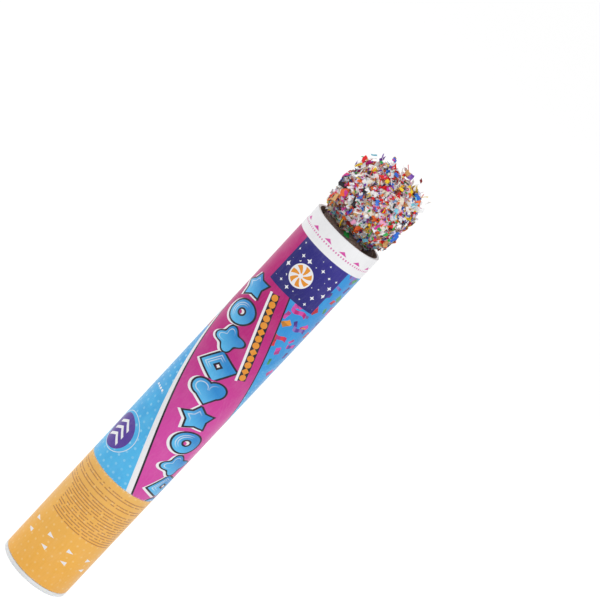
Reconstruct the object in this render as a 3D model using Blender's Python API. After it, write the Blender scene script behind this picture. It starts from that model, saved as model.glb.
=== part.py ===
"""Twist-and-fire party popper on compressed air, modelled as it comes apart on a bench.

Sizes are in metres. The tube stands on its end cap at z = 0 with the muzzle up, on the Z axis.
Grip, barrel, valve plug and charge are the four bodies; the barrel turns a quarter turn on the
grip, its cam collar lifts the valve plug, and the air drives the charge up the barrel.
"""

import math

import bmesh
import bpy
from mathutils import Matrix, Vector

# The whole tube
LENGTH = 0.300
OUTER_D = 0.050
SEAM_Z = 0.0878
SEAM_GAP = 0.0003
WRAP_THICKNESS = 0.0003
TUBE_WALL = 0.0012
FIT = 0.0003

# End cap and what stands on it
CAP_FLANGE = 0.0031
CAP_PANEL = 0.0016
CAP_FOOT_WIDTH = 0.0055
CAP_SKIRT = 0.0109
CAP_SKIRT_WALL = 0.0016
EDGE_CHAMFER = 0.0006
PAD_THICKNESS = 0.0050
PAD_HOLE_R = 0.0070
CRADLE_HEIGHT = 0.0080
CRADLE_DEPTH = 0.0026
CRADLE_WALL = 0.0012
RIB_WIDTH = 0.0020
RIB_END = 0.0005
CRADLE_RIBS = 8

# Air bottle and its filling valve
BOTTLE_WALL = 0.0015
BOTTLE_SHOULDER = 0.0110
BOTTLE_FOOT_R = 0.0165
BOTTLE_CORNER = 0.0025
PUNT_DEPTH = 0.0040
PUNT_THICKENING = 0.0006
NECK_LENGTH = 0.0090
NECK_WALL = 0.0030
FILL_HOLE_R = 0.0032
FILL_HEAD_R = 0.0055
FILL_HEAD_THICKNESS = 0.0016
FILL_LIP_R = 0.0048
FILL_TIP_LENGTH = 0.0045
FILL_TIP_R = 0.0016

# Valve body on the bottle's neck
VALVE_BORE_R = 0.0052
SPIGOT_WALL = 0.0020
SPIGOT_LENGTH = 0.0098
GASKET_THICKNESS = 0.0012
PLATE_THICKNESS = 0.0030
SCREW_CAP_WALL = 0.0022
SCREW_CAP_DEPTH = 0.0062
CROWN_BORE_R = 0.0090
CROWN_WALL = 0.0030
CROWN_END = 0.0014
SPIDER_RING_WALL = 0.0018
SPIDER_HEIGHT = 0.0060
SPOKES = 6
SPOKE_HEIGHT = 0.0040
RING_THICKNESS = 0.0010
RING_GROOVE_DEPTH = 0.0014
RING_WIDTH = 0.0027
RING_EAR = 0.0012
RING_OPENING = math.radians(32)
RING_EARS_SPAN = math.radians(68)

# Valve plug
PEGS = 3
PEG_R = 0.0014
PEG_END_GAP = 0.0004
LIFT = 0.0060
TWIST = math.radians(90.0)
PLUG_HEAD_THICKNESS = 0.0051
PLUG_HEAD_GAP = 0.0004
STEM_LENGTH = 0.0076
STEM_GAP = 0.0005
SEAL_SECTION_R = 0.00075
SEAL_PITCH = 0.0028
SEAL_DEPTH = 0.00175

# Cam collar
HUB_WALL = 0.0030
HUB_FLOOR = 0.0017
HUB_ROOF = 0.0007
HUB_ABOVE_WEB = 0.0010
WEB_DROP = 0.0028
WEB_THICKNESS = 0.0020
WEB_WINDOWS = 6
WEB_WINDOW_R = 0.0021
COLLAR_WALL = 0.0018
COLLAR_LAP_GRIP = 0.0088
COLLAR_LAP_BARREL = 0.0112

# Lugs that key the mouldings into windows in the cardboard
LUGS = 3
LUG_WIDTH = 0.0054
LUG_HEIGHT = 0.0034
COLLAR_LUG_RISE = 0.0052

# Charge
DISC_THICKNESS = 0.0025
WAD_THICKNESS = 0.0100
WAD_GAP = 0.0004
CHARGE_SLACK = 0.0004
CHARGE_DROP = 0.0200
SEAL_FOIL = 0.0006
SEAL_LAP = 0.0060
SEAL_TEAR = 0.0026
SEAL_BELOW_RIM = 0.0010
SEAL_WAVES = ((7, 0.28, 0.6), (16, 0.22, 2.1))

# Confetti that bursts out: a neck against the far wall at the rim, widening to a crown with tufts
NECK_SIDE = -0.0040
NECK_HALF_WIDTH = 0.0170
NECK_HALF_DEPTH = 0.0092
CROWN_SIDE = 0.0005
CROWN_OFFSET = 0.0050
CROWN_HALF_WIDTH = 0.0236
CROWN_HALF_DEPTH = 0.0172
CROWN_RISE = 0.0170
TUFTS_RISE = 0.0270
PLUME_RISE = 0.0440
PLUME_FLARE = 0.9
PLUME_LUMPS = ((3, 150.0, 0.035), (5, -260.0, 0.025))
TUFTS = 3
TUFT_TURN = 0.6
TUFT_DIP = 0.8
TUFT_ROUNDNESS = 0.7

# Facets
TUBE_STEPS = 56
FINE_STEPS = 32
SMALL_STEPS = 24
PEG_STEPS = 12
SEAL_STEPS = 6
SHOULDER_STEPS = 5
PLUME_ROWS = 5

# Radii that follow from the tube
OUTER_R = OUTER_D / 2
WRAP_INNER_R = OUTER_R - WRAP_THICKNESS
TUBE_R = WRAP_INNER_R - FIT
BORE_R = TUBE_R - TUBE_WALL
INSERT_R = BORE_R - FIT
LUG_R = TUBE_R - FIT
CAP_SKIRT_INNER_R = INSERT_R - CAP_SKIRT_WALL
BOTTLE_R = INSERT_R - CRADLE_DEPTH - FIT
SEAL_INNER_R = INSERT_R - SEAL_FOIL
WAD_R = SEAL_INNER_R - WAD_GAP
CHARGE_R = WAD_R - CHARGE_SLACK
NECK_OFFSET = CHARGE_R - NECK_HALF_DEPTH

# Radii that follow from the valve's bore
SPIGOT_R = VALVE_BORE_R + SPIGOT_WALL
NECK_BORE_R = SPIGOT_R + FIT
NECK_R = NECK_BORE_R + NECK_WALL
SCREW_CAP_BORE_R = NECK_R + FIT
SCREW_CAP_R = SCREW_CAP_BORE_R + SCREW_CAP_WALL
STEM_R = VALVE_BORE_R - STEM_GAP
CROWN_R = CROWN_BORE_R + CROWN_WALL
HUB_BORE_R = CROWN_R + FIT
HUB_R = HUB_BORE_R + HUB_WALL
PEG_REACH = HUB_R - PEG_END_GAP
SLOT_HALF = PEG_R + FIT
SLOT_SLOPE = math.atan(LIFT / (TWIST * HUB_BORE_R))
SLOT_HALF_RISE = SLOT_HALF / math.cos(SLOT_SLOPE)
SLOT_END = SLOT_HALF / HUB_BORE_R

# Heights, worked down from the seam to the bottle and up from the floor to meet it
GRIP_TOP = SEAM_Z - SEAM_GAP / 2
BARREL_BOTTOM = SEAM_Z + SEAM_GAP / 2
TUBE_BOTTOM = CAP_FLANGE + FIT
WEB_TOP = SEAM_Z - WEB_DROP
WEB_BOTTOM = WEB_TOP - WEB_THICKNESS
HUB_TOP = WEB_TOP + HUB_ABOVE_WEB
PEG_HIGH = WEB_BOTTOM - HUB_ROOF - SLOT_HALF_RISE
PEG_LOW = PEG_HIGH - LIFT
HUB_BOTTOM = PEG_LOW - SLOT_HALF - HUB_FLOOR
PLATE_TOP = HUB_BOTTOM - FIT
PLATE_BOTTOM = PLATE_TOP - PLATE_THICKNESS
GASKET_TOP = PLATE_BOTTOM - FIT
NECK_TOP = GASKET_TOP - GASKET_THICKNESS - FIT
NECK_BOTTOM = NECK_TOP - NECK_LENGTH
SHOULDER_BOTTOM = NECK_BOTTOM - BOTTLE_SHOULDER
SPIDER_TOP = NECK_TOP
SPIDER_BOTTOM = SPIDER_TOP - SPIDER_HEIGHT
SPIDER_MIDDLE = (SPIDER_TOP + SPIDER_BOTTOM) / 2
GROOVE_TOP = HUB_TOP + FIT + RING_THICKNESS + FIT
CROWN_TOP = GROOVE_TOP + CROWN_END
PAD_BOTTOM = CAP_FLANGE + FIT
BOTTLE_BOTTOM = PAD_BOTTOM + PAD_THICKNESS + FIT
CAP_SKIRT_TOP = CAP_FLANGE + CAP_SKIRT
CRADLE_BOTTOM = CAP_SKIRT_TOP + FIT
COLLAR_BOTTOM = SEAM_Z - COLLAR_LAP_GRIP
COLLAR_TOP = SEAM_Z + COLLAR_LAP_BARREL
COLLAR_LUG_Z = SEAM_Z + COLLAR_LUG_RISE
DISC_BOTTOM = COLLAR_TOP + FIT
WAD_BOTTOM = DISC_BOTTOM + DISC_THICKNESS + FIT
CHARGE_BOTTOM = WAD_BOTTOM + WAD_THICKNESS + FIT
RIM_UNDERSIDE = LENGTH - WRAP_THICKNESS
TUBE_TOP = RIM_UNDERSIDE - FIT
CHARGE_TOP = LENGTH - CHARGE_DROP


def linear(channel):
    """One sRGB channel from 0 to 255 as the linear value that a shader takes."""
    part = channel / 255
    return part / 12.92 if part <= 0.04045 else ((part + 0.055) / 1.055) ** 2.4


def finish(name, rgb, roughness, coat=0.0):
    """A Principled material of one colour, given in sRGB."""
    material = bpy.data.materials.new(name)
    material.use_nodes = True
    shader = material.node_tree.nodes["Principled BSDF"]
    shader.inputs["Base Color"].default_value = (*[linear(c) for c in rgb], 1.0)
    shader.inputs["Roughness"].default_value = roughness
    shader.inputs["Metallic"].default_value = 0.0
    shader.inputs["Coat Weight"].default_value = coat
    material.diffuse_color = shader.inputs["Base Color"].default_value
    return material


def placed(name, mesh_data, material, parent):
    """Turn a bmesh into a named object on the Z axis, smooth where it is round."""
    bmesh.ops.remove_doubles(mesh_data, verts=mesh_data.verts, dist=1e-7)
    bmesh.ops.recalc_face_normals(mesh_data, faces=mesh_data.faces)
    mesh = bpy.data.meshes.new(name)
    mesh_data.to_mesh(mesh)
    mesh_data.free()
    mesh.shade_smooth()
    mesh.set_sharp_from_angle(angle=math.radians(35))
    if material:
        mesh.materials.append(material)
    item = bpy.data.objects.new(name, mesh)
    bpy.context.scene.collection.objects.link(item)
    item.parent = parent
    return item


def as_guide(item):
    """Mark an object as a cutter or a shape that a Boolean joins on."""
    item.hide_render = True
    item.display_type = "WIRE"
    return item


def boolean(item, operation, tool):
    """Leave a live Boolean on the item."""
    modifier = item.modifiers.new(operation.title() + " " + tool.name, "BOOLEAN")
    modifier.operation = operation
    modifier.solver = "EXACT"
    modifier.object = as_guide(tool)


def turned(name, profile, steps, material, parent):
    """Spin a closed outline of (radius, height) points about the Z axis.

    An outline whose first and last points are on the axis closes there.
    """
    mesh_data = bmesh.new()
    points = [mesh_data.verts.new((r, 0.0, z)) for r, z in profile]
    pairs = list(zip(points, points[1:]))
    if profile[0][0] > 0:
        pairs.append((points[-1], points[0]))
    edges = [mesh_data.edges.new(pair) for pair in pairs]
    bmesh.ops.spin(
        mesh_data,
        geom=points + edges,
        cent=(0, 0, 0),
        axis=(0, 0, 1),
        angle=math.tau,
        steps=steps,
        use_merge=True,
    )
    return placed(name, mesh_data, material, parent)


def arc(centre, radius, start, end, steps):
    """Points of an arc in the profile's plane, angles in degrees."""
    turns = [math.radians(start + (end - start) * i / steps) for i in range(steps + 1)]
    return [(centre[0] + radius * math.cos(a), centre[1] + radius * math.sin(a)) for a in turns]


def wall(name, angles, levels, radii, is_solid, material, parent):
    """A cylindrical wall made of cells between angles and height levels.

    levels(angle) gives the heights at an angle, radii(angle) the inner and outer radius, and
    is_solid(middle angle, row) says whether a cell holds material.
    """
    mesh_data = bmesh.new()
    count = len(angles)
    rows = len(levels(angles[0])) - 1
    grid = []
    for angle in angles:
        inner, outer = radii(angle)
        direction = Vector((math.cos(angle), math.sin(angle), 0.0))
        grid.append(
            [
                [mesh_data.verts.new(direction * r + Vector((0, 0, z))) for z in levels(angle)]
                for r in (inner, outer)
            ]
        )
    middles = [(a + b) / 2 for a, b in zip(angles, angles[1:] + [angles[0] + math.tau])]
    filled = [[is_solid(middle, row) for row in range(rows)] for middle in middles]

    def has(column, row):
        return 0 <= row < rows and filled[column % count][row]

    for i in range(count):
        here, there = grid[i], grid[(i + 1) % count]
        for row in range(rows):
            if not has(i, row):
                continue
            for side in (0, 1):
                mesh_data.faces.new(
                    (here[side][row], there[side][row], there[side][row + 1], here[side][row + 1])
                )
            for step, level in ((-1, row), (1, row + 1)):
                if not has(i, row + step):
                    mesh_data.faces.new(
                        (here[0][level], there[0][level], there[1][level], here[1][level])
                    )
            for step, column in ((-1, here), (1, there)):
                if not has(i + step, row):
                    mesh_data.faces.new(
                        (column[0][row], column[1][row], column[1][row + 1], column[0][row + 1])
                    )
    loose = [v for v in mesh_data.verts if not v.link_faces]
    bmesh.ops.delete(mesh_data, geom=loose, context="VERTS")
    return placed(name, mesh_data, material, parent)


def ring_angles(steps, edges=()):
    """Even angles round a ring, with given edges added and close neighbours dropped."""
    even = [math.tau * i / steps for i in range(steps)]
    edges = sorted(edge % math.tau for edge in edges)
    near = math.tau / steps / 3

    def is_clear(angle):
        return all(abs((angle - e + math.pi) % math.tau - math.pi) > near for e in edges)

    return sorted([a for a in even if is_clear(a)] + edges)


def spaced(count, start=0.0):
    """Evenly spaced angles round the axis."""
    return [start + math.tau * i / count for i in range(count)]


def bar(name, angle, inner, outer, width, bottom, top):
    """A straight bar that lies along a radius."""
    mesh_data = bmesh.new()
    bmesh.ops.create_cube(mesh_data, size=1.0)
    size = Matrix.Diagonal((outer - inner, width, top - bottom, 1.0))
    middle = Matrix.Translation(((inner + outer) / 2, 0.0, (bottom + top) / 2))
    mesh_data.transform(Matrix.Rotation(angle, 4, "Z") @ middle @ size)
    return placed(name, mesh_data, None, None)


def drum(name, radius, depth, place, steps):
    """A plain cylinder with its own transform, for pegs and round cutters."""
    mesh_data = bmesh.new()
    bmesh.ops.create_cone(
        mesh_data, cap_ends=True, segments=steps, radius1=radius, radius2=radius, depth=depth
    )
    mesh_data.transform(place)
    return placed(name, mesh_data, None, None)


def tube_with_windows(name, bottom, top, window_z, material, parent):
    """A cardboard tube with one window for each lug of the moulding inside it."""
    half_angle = (LUG_WIDTH / 2 + FIT) / BORE_R
    half_height = LUG_HEIGHT / 2 + FIT
    centres = spaced(LUGS, math.tau / LUGS / 2)
    edges = [centre + side * half_angle for centre in centres for side in (-1, 1)]

    def is_solid(angle, row):
        in_window = any(
            abs((angle - c + math.pi) % math.tau - math.pi) < half_angle for c in centres
        )
        return row != 1 or not in_window

    heights = [bottom, window_z - half_height, window_z + half_height, top]
    return wall(
        name,
        ring_angles(TUBE_STEPS, edges),
        lambda angle: heights,
        lambda angle: (BORE_R, TUBE_R),
        is_solid,
        material,
        parent,
    )


def add_lugs(item, centre_z, ring_wall):
    """Join the lugs that sit in the tube's windows on to a moulding's ring."""
    for i, angle in enumerate(spaced(LUGS, math.tau / LUGS / 2)):
        lug = bar(
            f"{item.name}_lug_{i}",
            angle,
            INSERT_R - ring_wall / 2,
            LUG_R,
            LUG_WIDTH,
            centre_z - LUG_HEIGHT / 2,
            centre_z + LUG_HEIGHT / 2,
        )
        boolean(item, "UNION", lug)


def end_cap(material, parent):
    """Flange with a foot ring, a recessed panel and a skirt that plugs the tube."""
    foot_r = OUTER_R - CAP_FOOT_WIDTH
    panel = CAP_FLANGE - CAP_PANEL
    profile = [
        (0.0, panel),
        (foot_r - EDGE_CHAMFER, panel),
        (foot_r, panel - EDGE_CHAMFER),
        (foot_r, 0.0),
        (OUTER_R - EDGE_CHAMFER, 0.0),
        (OUTER_R, EDGE_CHAMFER),
        (OUTER_R, CAP_FLANGE),
        (INSERT_R, CAP_FLANGE),
        (INSERT_R, CAP_SKIRT_TOP - EDGE_CHAMFER),
        (INSERT_R - EDGE_CHAMFER, CAP_SKIRT_TOP),
        (CAP_SKIRT_INNER_R, CAP_SKIRT_TOP),
        (CAP_SKIRT_INNER_R, CAP_FLANGE),
        (0.0, CAP_FLANGE),
    ]
    return turned("end_cap", profile, TUBE_STEPS, material, parent)


def base_pad(material, parent):
    """Foam ring under the bottle, with a hole that clears the filling valve."""
    rim = CAP_SKIRT_INNER_R - FIT
    top = PAD_BOTTOM + PAD_THICKNESS
    profile = [(PAD_HOLE_R, PAD_BOTTOM), (rim, PAD_BOTTOM), (rim, top), (PAD_HOLE_R, top)]
    return turned("base_pad", profile, FINE_STEPS, material, parent)


def bottle_cradle(material, parent):
    """Ring round the bottle with ribs that reach the tube."""
    inner = BOTTLE_R + FIT
    outer = inner + CRADLE_WALL
    top = CRADLE_BOTTOM + CRADLE_HEIGHT
    profile = [(inner, CRADLE_BOTTOM), (outer, CRADLE_BOTTOM), (outer, top), (inner, top)]
    cradle = turned("bottle_cradle", profile, TUBE_STEPS, material, parent)
    for i, angle in enumerate(spaced(CRADLE_RIBS)):
        rib = bar(
            f"cradle_rib_{i}",
            angle,
            inner + CRADLE_WALL / 2,
            INSERT_R,
            RIB_WIDTH,
            CRADLE_BOTTOM + RIB_END,
            top - RIB_END,
        )
        boolean(cradle, "UNION", rib)
    return cradle


def air_bottle(material, parent):
    """Blow-moulded bottle: foot ring, raised base with the filling hole, shoulder and neck."""
    foot = BOTTLE_BOTTOM
    punt = foot + PUNT_DEPTH
    skin = BOTTLE_WALL
    corner = BOTTLE_CORNER
    inner_r = BOTTLE_R - skin
    outside = [(FILL_HOLE_R, punt)]
    outside += [(BOTTLE_FOOT_R - PUNT_DEPTH, punt), (BOTTLE_FOOT_R, foot)]
    outside += arc((BOTTLE_R - corner, foot + corner), corner, -90, 0, 3)
    outside += shoulder(BOTTLE_R, NECK_R, SHOULDER_BOTTOM, NECK_BOTTOM)
    outside += [(NECK_R, NECK_TOP), (NECK_BORE_R, NECK_TOP)]
    inside = shoulder(inner_r, NECK_BORE_R, SHOULDER_BOTTOM - skin / 2, NECK_BOTTOM - skin / 2)
    inside = inside[::-1]
    inside += arc((BOTTLE_R - corner, foot + corner), corner - skin, 0, -90, 2)
    inside += [(BOTTLE_FOOT_R + PUNT_THICKENING, foot + skin)]
    inside += [(BOTTLE_FOOT_R - PUNT_DEPTH + PUNT_THICKENING, punt + skin)]
    inside += [(FILL_HOLE_R, punt + skin)]
    return turned("air_bottle", outside + inside, FINE_STEPS, material, parent)


def shoulder(wide_r, narrow_r, bottom, top):
    """An S-shaped shoulder, from a wide radius up to a narrow one."""
    points = []
    for i in range(SHOULDER_STEPS + 1):
        part = i / SHOULDER_STEPS
        ease = part * part * (3 - 2 * part)
        points.append((wide_r + (narrow_r - wide_r) * ease, bottom + (top - bottom) * part))
    return points


def fill_valve(material, parent):
    """Rubber plug with a groove that grips the edge of the hole in the bottle's base."""
    punt = BOTTLE_BOTTOM + PUNT_DEPTH
    groove_r = FILL_HOLE_R - FIT
    head_top = punt - FIT
    head_bottom = head_top - FILL_HEAD_THICKNESS
    lip_bottom = punt + BOTTLE_WALL + FIT
    profile = [
        (0.0, head_bottom),
        (FILL_HEAD_R - EDGE_CHAMFER, head_bottom),
        (FILL_HEAD_R, head_bottom + EDGE_CHAMFER),
        (FILL_HEAD_R, head_top),
        (groove_r, head_top),
        (groove_r, lip_bottom),
        (FILL_LIP_R, lip_bottom),
        (FILL_LIP_R, lip_bottom + EDGE_CHAMFER),
        (FILL_TIP_R, lip_bottom + FILL_TIP_LENGTH),
        (0.0, lip_bottom + FILL_TIP_LENGTH),
    ]
    return turned("fill_valve", profile, SMALL_STEPS, material, parent)


def neck_gasket(material, parent):
    """Flat ring between the bottle's lip and the valve body."""
    bottom = GASKET_TOP - GASKET_THICKNESS
    profile = [
        (NECK_BORE_R, bottom),
        (NECK_R, bottom),
        (NECK_R, GASKET_TOP),
        (NECK_BORE_R, GASKET_TOP),
    ]
    return turned("neck_gasket", profile, FINE_STEPS, material, parent)


def valve_body(material, parent):
    """Screw cap, valve bore, guide crown with a slot for each peg, and the keyed spider."""
    spigot_bottom = PLATE_BOTTOM - SPIGOT_LENGTH
    cap_bottom = NECK_TOP - SCREW_CAP_DEPTH
    groove_r = CROWN_R - RING_GROOVE_DEPTH
    profile = [
        (VALVE_BORE_R, spigot_bottom),
        (SPIGOT_R - EDGE_CHAMFER, spigot_bottom),
        (SPIGOT_R, spigot_bottom + EDGE_CHAMFER),
        (SPIGOT_R, PLATE_BOTTOM),
        (SCREW_CAP_BORE_R, PLATE_BOTTOM),
        (SCREW_CAP_BORE_R, cap_bottom),
        (SCREW_CAP_R, cap_bottom),
        (SCREW_CAP_R, PLATE_TOP - EDGE_CHAMFER),
        (SCREW_CAP_R - EDGE_CHAMFER, PLATE_TOP),
        (CROWN_R, PLATE_TOP),
        (CROWN_R, HUB_TOP),
        (groove_r, HUB_TOP),
        (groove_r, GROOVE_TOP),
        (CROWN_R, GROOVE_TOP),
        (CROWN_R, CROWN_TOP - EDGE_CHAMFER),
        (CROWN_R - EDGE_CHAMFER, CROWN_TOP),
        (CROWN_BORE_R, CROWN_TOP),
        (CROWN_BORE_R, PLATE_TOP),
        (VALVE_BORE_R, PLATE_TOP),
    ]
    body = turned("valve_body", profile, FINE_STEPS, material, parent)
    for i, angle in enumerate(spaced(PEGS)):
        slot = bar(
            f"crown_slot_{i}",
            angle,
            CROWN_BORE_R - CROWN_WALL,
            CROWN_R + FIT,
            SLOT_HALF * 2,
            PEG_LOW - SLOT_HALF,
            CROWN_TOP + CROWN_END,
        )
        boolean(body, "DIFFERENCE", slot)
    ring_inner = INSERT_R - SPIDER_RING_WALL
    ring = [
        (ring_inner, SPIDER_BOTTOM),
        (INSERT_R, SPIDER_BOTTOM),
        (INSERT_R, SPIDER_TOP),
        (ring_inner, SPIDER_TOP),
    ]
    spider = turned("spider_ring", ring, TUBE_STEPS, None, None)
    for i, angle in enumerate(spaced(SPOKES)):
        spoke = bar(
            f"spoke_{i}",
            angle,
            SCREW_CAP_R - SCREW_CAP_WALL / 2,
            ring_inner + SPIDER_RING_WALL / 2,
            RIB_WIDTH,
            SPIDER_MIDDLE - SPOKE_HEIGHT / 2,
            SPIDER_MIDDLE + SPOKE_HEIGHT / 2,
        )
        boolean(spider, "UNION", spoke)
    boolean(body, "UNION", spider)
    add_lugs(body, SPIDER_MIDDLE, SPIDER_RING_WALL)
    return body


def retaining_ring(material, parent):
    """Open snap ring with two ears, in the crown's groove over the collar's hub."""
    bottom = HUB_TOP + FIT
    inner = CROWN_R - RING_GROOVE_DEPTH + FIT
    gap_half = RING_OPENING / 2
    ear_half = RING_EARS_SPAN / 2
    centre = math.tau / PEGS / 2

    def off_centre(angle):
        return abs((angle - centre + math.pi) % math.tau - math.pi)

    def radii(angle):
        ear = RING_EAR if off_centre(angle) < ear_half else 0.0
        return inner, inner + RING_WIDTH + ear

    edges = [centre + side * half for half in (gap_half, ear_half) for side in (-1, 1)]
    return wall(
        "retaining_ring",
        ring_angles(FINE_STEPS, edges),
        lambda angle: [bottom, bottom + RING_THICKNESS],
        radii,
        lambda angle, row: off_centre(angle) > gap_half,
        material,
        parent,
    )


def valve_plug(material, parent):
    """Stem with two seal grooves and a head whose pegs reach through the crown into the cam."""
    head_bottom = PEG_LOW - PLUG_HEAD_THICKNESS / 2
    head_top = PEG_LOW + PLUG_HEAD_THICKNESS / 2
    head_r = CROWN_BORE_R - PLUG_HEAD_GAP
    groove_r = seal_centre_r() - SEAL_SECTION_R - FIT
    half = SEAL_SECTION_R + FIT / 2
    profile = [(0.0, head_bottom - STEM_LENGTH)]
    profile += [(STEM_R - EDGE_CHAMFER, head_bottom - STEM_LENGTH)]
    profile += [(STEM_R, head_bottom - STEM_LENGTH + EDGE_CHAMFER)]
    for z in seal_heights():
        profile += [(STEM_R, z - half), (groove_r, z - half), (groove_r, z + half), (STEM_R, z + half)]
    profile += [
        (STEM_R, head_bottom),
        (head_r - EDGE_CHAMFER, head_bottom),
        (head_r, head_bottom + EDGE_CHAMFER),
        (head_r, head_top - EDGE_CHAMFER),
        (head_r - EDGE_CHAMFER, head_top),
        (0.0, head_top),
    ]
    plug = turned("valve_plug", profile, FINE_STEPS, material, parent)
    for i, angle in enumerate(spaced(PEGS)):
        start = head_r - CROWN_WALL / 2
        middle = Vector(((start + PEG_REACH) / 2, 0.0, PEG_LOW))
        place = Matrix.Rotation(angle, 4, "Z") @ Matrix.Translation(middle)
        place = place @ Matrix.Rotation(math.pi / 2, 4, "Y")
        peg = drum(f"plug_peg_{i}", PEG_R, PEG_REACH - start, place, PEG_STEPS)
        boolean(plug, "UNION", peg)
    return plug


def seal_centre_r():
    """Radius of an O-ring's centre line, clear of the valve's bore by the fit."""
    return VALVE_BORE_R - FIT - SEAL_SECTION_R


def seal_heights():
    """Heights of the two O-rings, low one first; both leave the bore when the plug is lifted."""
    upper = PLATE_TOP - SEAL_DEPTH
    return [upper - SEAL_PITCH, upper]


def plug_seal(name, z, material, parent):
    """One O-ring of the plug."""
    profile = arc((seal_centre_r(), z), SEAL_SECTION_R, 0, 360, SEAL_STEPS)[:-1]
    return turned(name, profile, SMALL_STEPS, material, parent)


def cam_collar(material, parent):
    """Hub with a helical slot for each peg, a windowed web, and a skirt across both tubes."""
    sector = math.tau / PEGS
    slot_span = TWIST + SLOT_END

    def travel(angle):
        """How far the barrel has turned when this angle of the hub meets the peg."""
        back = (-angle) % sector
        return back - sector if back > (sector + slot_span) / 2 else back

    def levels(angle):
        turn = travel(angle)
        if turn <= slot_span + 1e-6:
            centre = PEG_LOW + LIFT * turn / TWIST
        else:
            left = (sector - SLOT_END - turn) / (sector - SLOT_END - slot_span)
            low = PEG_LOW - LIFT * SLOT_END / TWIST
            high = PEG_LOW + LIFT * slot_span / TWIST
            centre = low + (high - low) * left
        return [HUB_BOTTOM, centre - SLOT_HALF_RISE, centre + SLOT_HALF_RISE, HUB_TOP]

    def is_solid(angle, row):
        turn = travel(angle)
        in_slot = -SLOT_END < turn < slot_span
        in_entry = -SLOT_END < turn < SLOT_END
        return not ((row == 1 and in_slot) or (row == 0 and in_entry))

    edges = []
    for start in spaced(PEGS):
        edges += [start + SLOT_END, start - SLOT_END, start - slot_span]
    hub = wall(
        "cam_collar",
        ring_angles(FINE_STEPS, edges),
        levels,
        lambda angle: (HUB_BORE_R, HUB_R),
        is_solid,
        material,
        parent,
    )
    inner = INSERT_R - COLLAR_WALL
    web_inner = HUB_BORE_R + HUB_WALL / 2
    profile = [
        (web_inner, WEB_BOTTOM),
        (inner, WEB_BOTTOM),
        (inner, COLLAR_BOTTOM),
        (INSERT_R - EDGE_CHAMFER, COLLAR_BOTTOM),
        (INSERT_R, COLLAR_BOTTOM + EDGE_CHAMFER),
        (INSERT_R, COLLAR_TOP - EDGE_CHAMFER),
        (INSERT_R - EDGE_CHAMFER, COLLAR_TOP),
        (inner, COLLAR_TOP),
        (inner, WEB_TOP),
        (web_inner, WEB_TOP),
    ]
    skirt = turned("collar_skirt", profile, TUBE_STEPS, None, None)
    window_circle = (HUB_R + inner) / 2
    for i, angle in enumerate(spaced(WEB_WINDOWS)):
        middle = Vector((window_circle, 0.0, (WEB_TOP + WEB_BOTTOM) / 2))
        place = Matrix.Rotation(angle, 4, "Z") @ Matrix.Translation(middle)
        window = drum(f"web_window_{i}", WEB_WINDOW_R, WEB_THICKNESS * 2, place, PEG_STEPS)
        boolean(skirt, "DIFFERENCE", window)
    boolean(hub, "UNION", skirt)
    add_lugs(hub, COLLAR_LUG_Z, COLLAR_WALL)
    return hub


def burst_seal(material, parent):
    """The torn rim of the membrane that closed the barrel, standing against the bore."""
    top = TUBE_TOP - SEAL_BELOW_RIM
    bottom = top - SEAL_TEAR - SEAL_LAP

    def levels(angle):
        ragged = 0.5 + sum(size * math.sin(n * angle + phase) for n, size, phase in SEAL_WAVES)
        return [bottom, top - SEAL_TEAR * ragged]

    return wall(
        "burst_seal",
        ring_angles(TUBE_STEPS),
        levels,
        lambda angle: (SEAL_INNER_R, INSERT_R),
        lambda angle, row: True,
        material,
        parent,
    )


def wrap(name, bottom, top, has_lip, material, parent):
    """Printed paper round a tube, turned in over the rim at the muzzle."""
    profile = [(WRAP_INNER_R, bottom), (OUTER_R, bottom), (OUTER_R, top)]
    if has_lip:
        profile += [(BORE_R, top), (BORE_R, RIM_UNDERSIDE), (WRAP_INNER_R, RIM_UNDERSIDE)]
    else:
        profile += [(WRAP_INNER_R, top)]
    return turned(name, profile, TUBE_STEPS, material, parent)


def pusher_disc(material, parent):
    """Cardboard wad that lies on the collar's rim."""
    top = DISC_BOTTOM + DISC_THICKNESS
    profile = [(0.0, DISC_BOTTOM), (WAD_R, DISC_BOTTOM), (WAD_R, top), (0.0, top)]
    return turned("pusher_disc", profile, FINE_STEPS, material, parent)


def foam_wad(material, parent):
    """Foam plug with soft edges between the wad and the confetti."""
    top = WAD_BOTTOM + WAD_THICKNESS
    soft = EDGE_CHAMFER * 2
    profile = [(0.0, WAD_BOTTOM)]
    profile += arc((WAD_R - soft, WAD_BOTTOM + soft), soft, -90, 0, 3)
    profile += arc((WAD_R - soft, top - soft), soft, 0, 90, 3)
    profile += [(0.0, top)]
    return turned("foam_wad", profile, FINE_STEPS, material, parent)


def blended(first, second, share):
    """An ellipse part of the way from one to another, as (x, y, half width, half depth)."""
    return [a + (b - a) * share for a, b in zip(first, second)]


def plume_rows():
    """Ellipses of the confetti from the packed column up, each with its height, lowest first."""
    column = (0.0, 0.0, CHARGE_R, CHARGE_R)
    neck = (NECK_SIDE, NECK_OFFSET, NECK_HALF_WIDTH, NECK_HALF_DEPTH)
    crown = (CROWN_SIDE, CROWN_OFFSET, CROWN_HALF_WIDTH, CROWN_HALF_DEPTH)
    shares = [i / PLUME_ROWS for i in range(PLUME_ROWS)]
    rows = [(CHARGE_TOP + CHARGE_DROP * part**2, blended(column, neck, part)) for part in shares]
    for part in shares:
        widening = math.sin(part * math.pi / 2)
        rows.append((LENGTH + CROWN_RISE * part, blended(neck, crown, widening)))
    rows.append((LENGTH + CROWN_RISE, crown))
    for part in shares:
        turn = part * math.pi / 2
        middle = (CROWN_SIDE, CROWN_OFFSET, 0.0, 0.0)
        height = LENGTH + TUFTS_RISE + (PLUME_RISE - TUFTS_RISE) * math.sin(turn)
        rows.append((height, blended(middle, crown, math.cos(turn) ** TUFT_ROUNDNESS)))
    return rows


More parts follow.
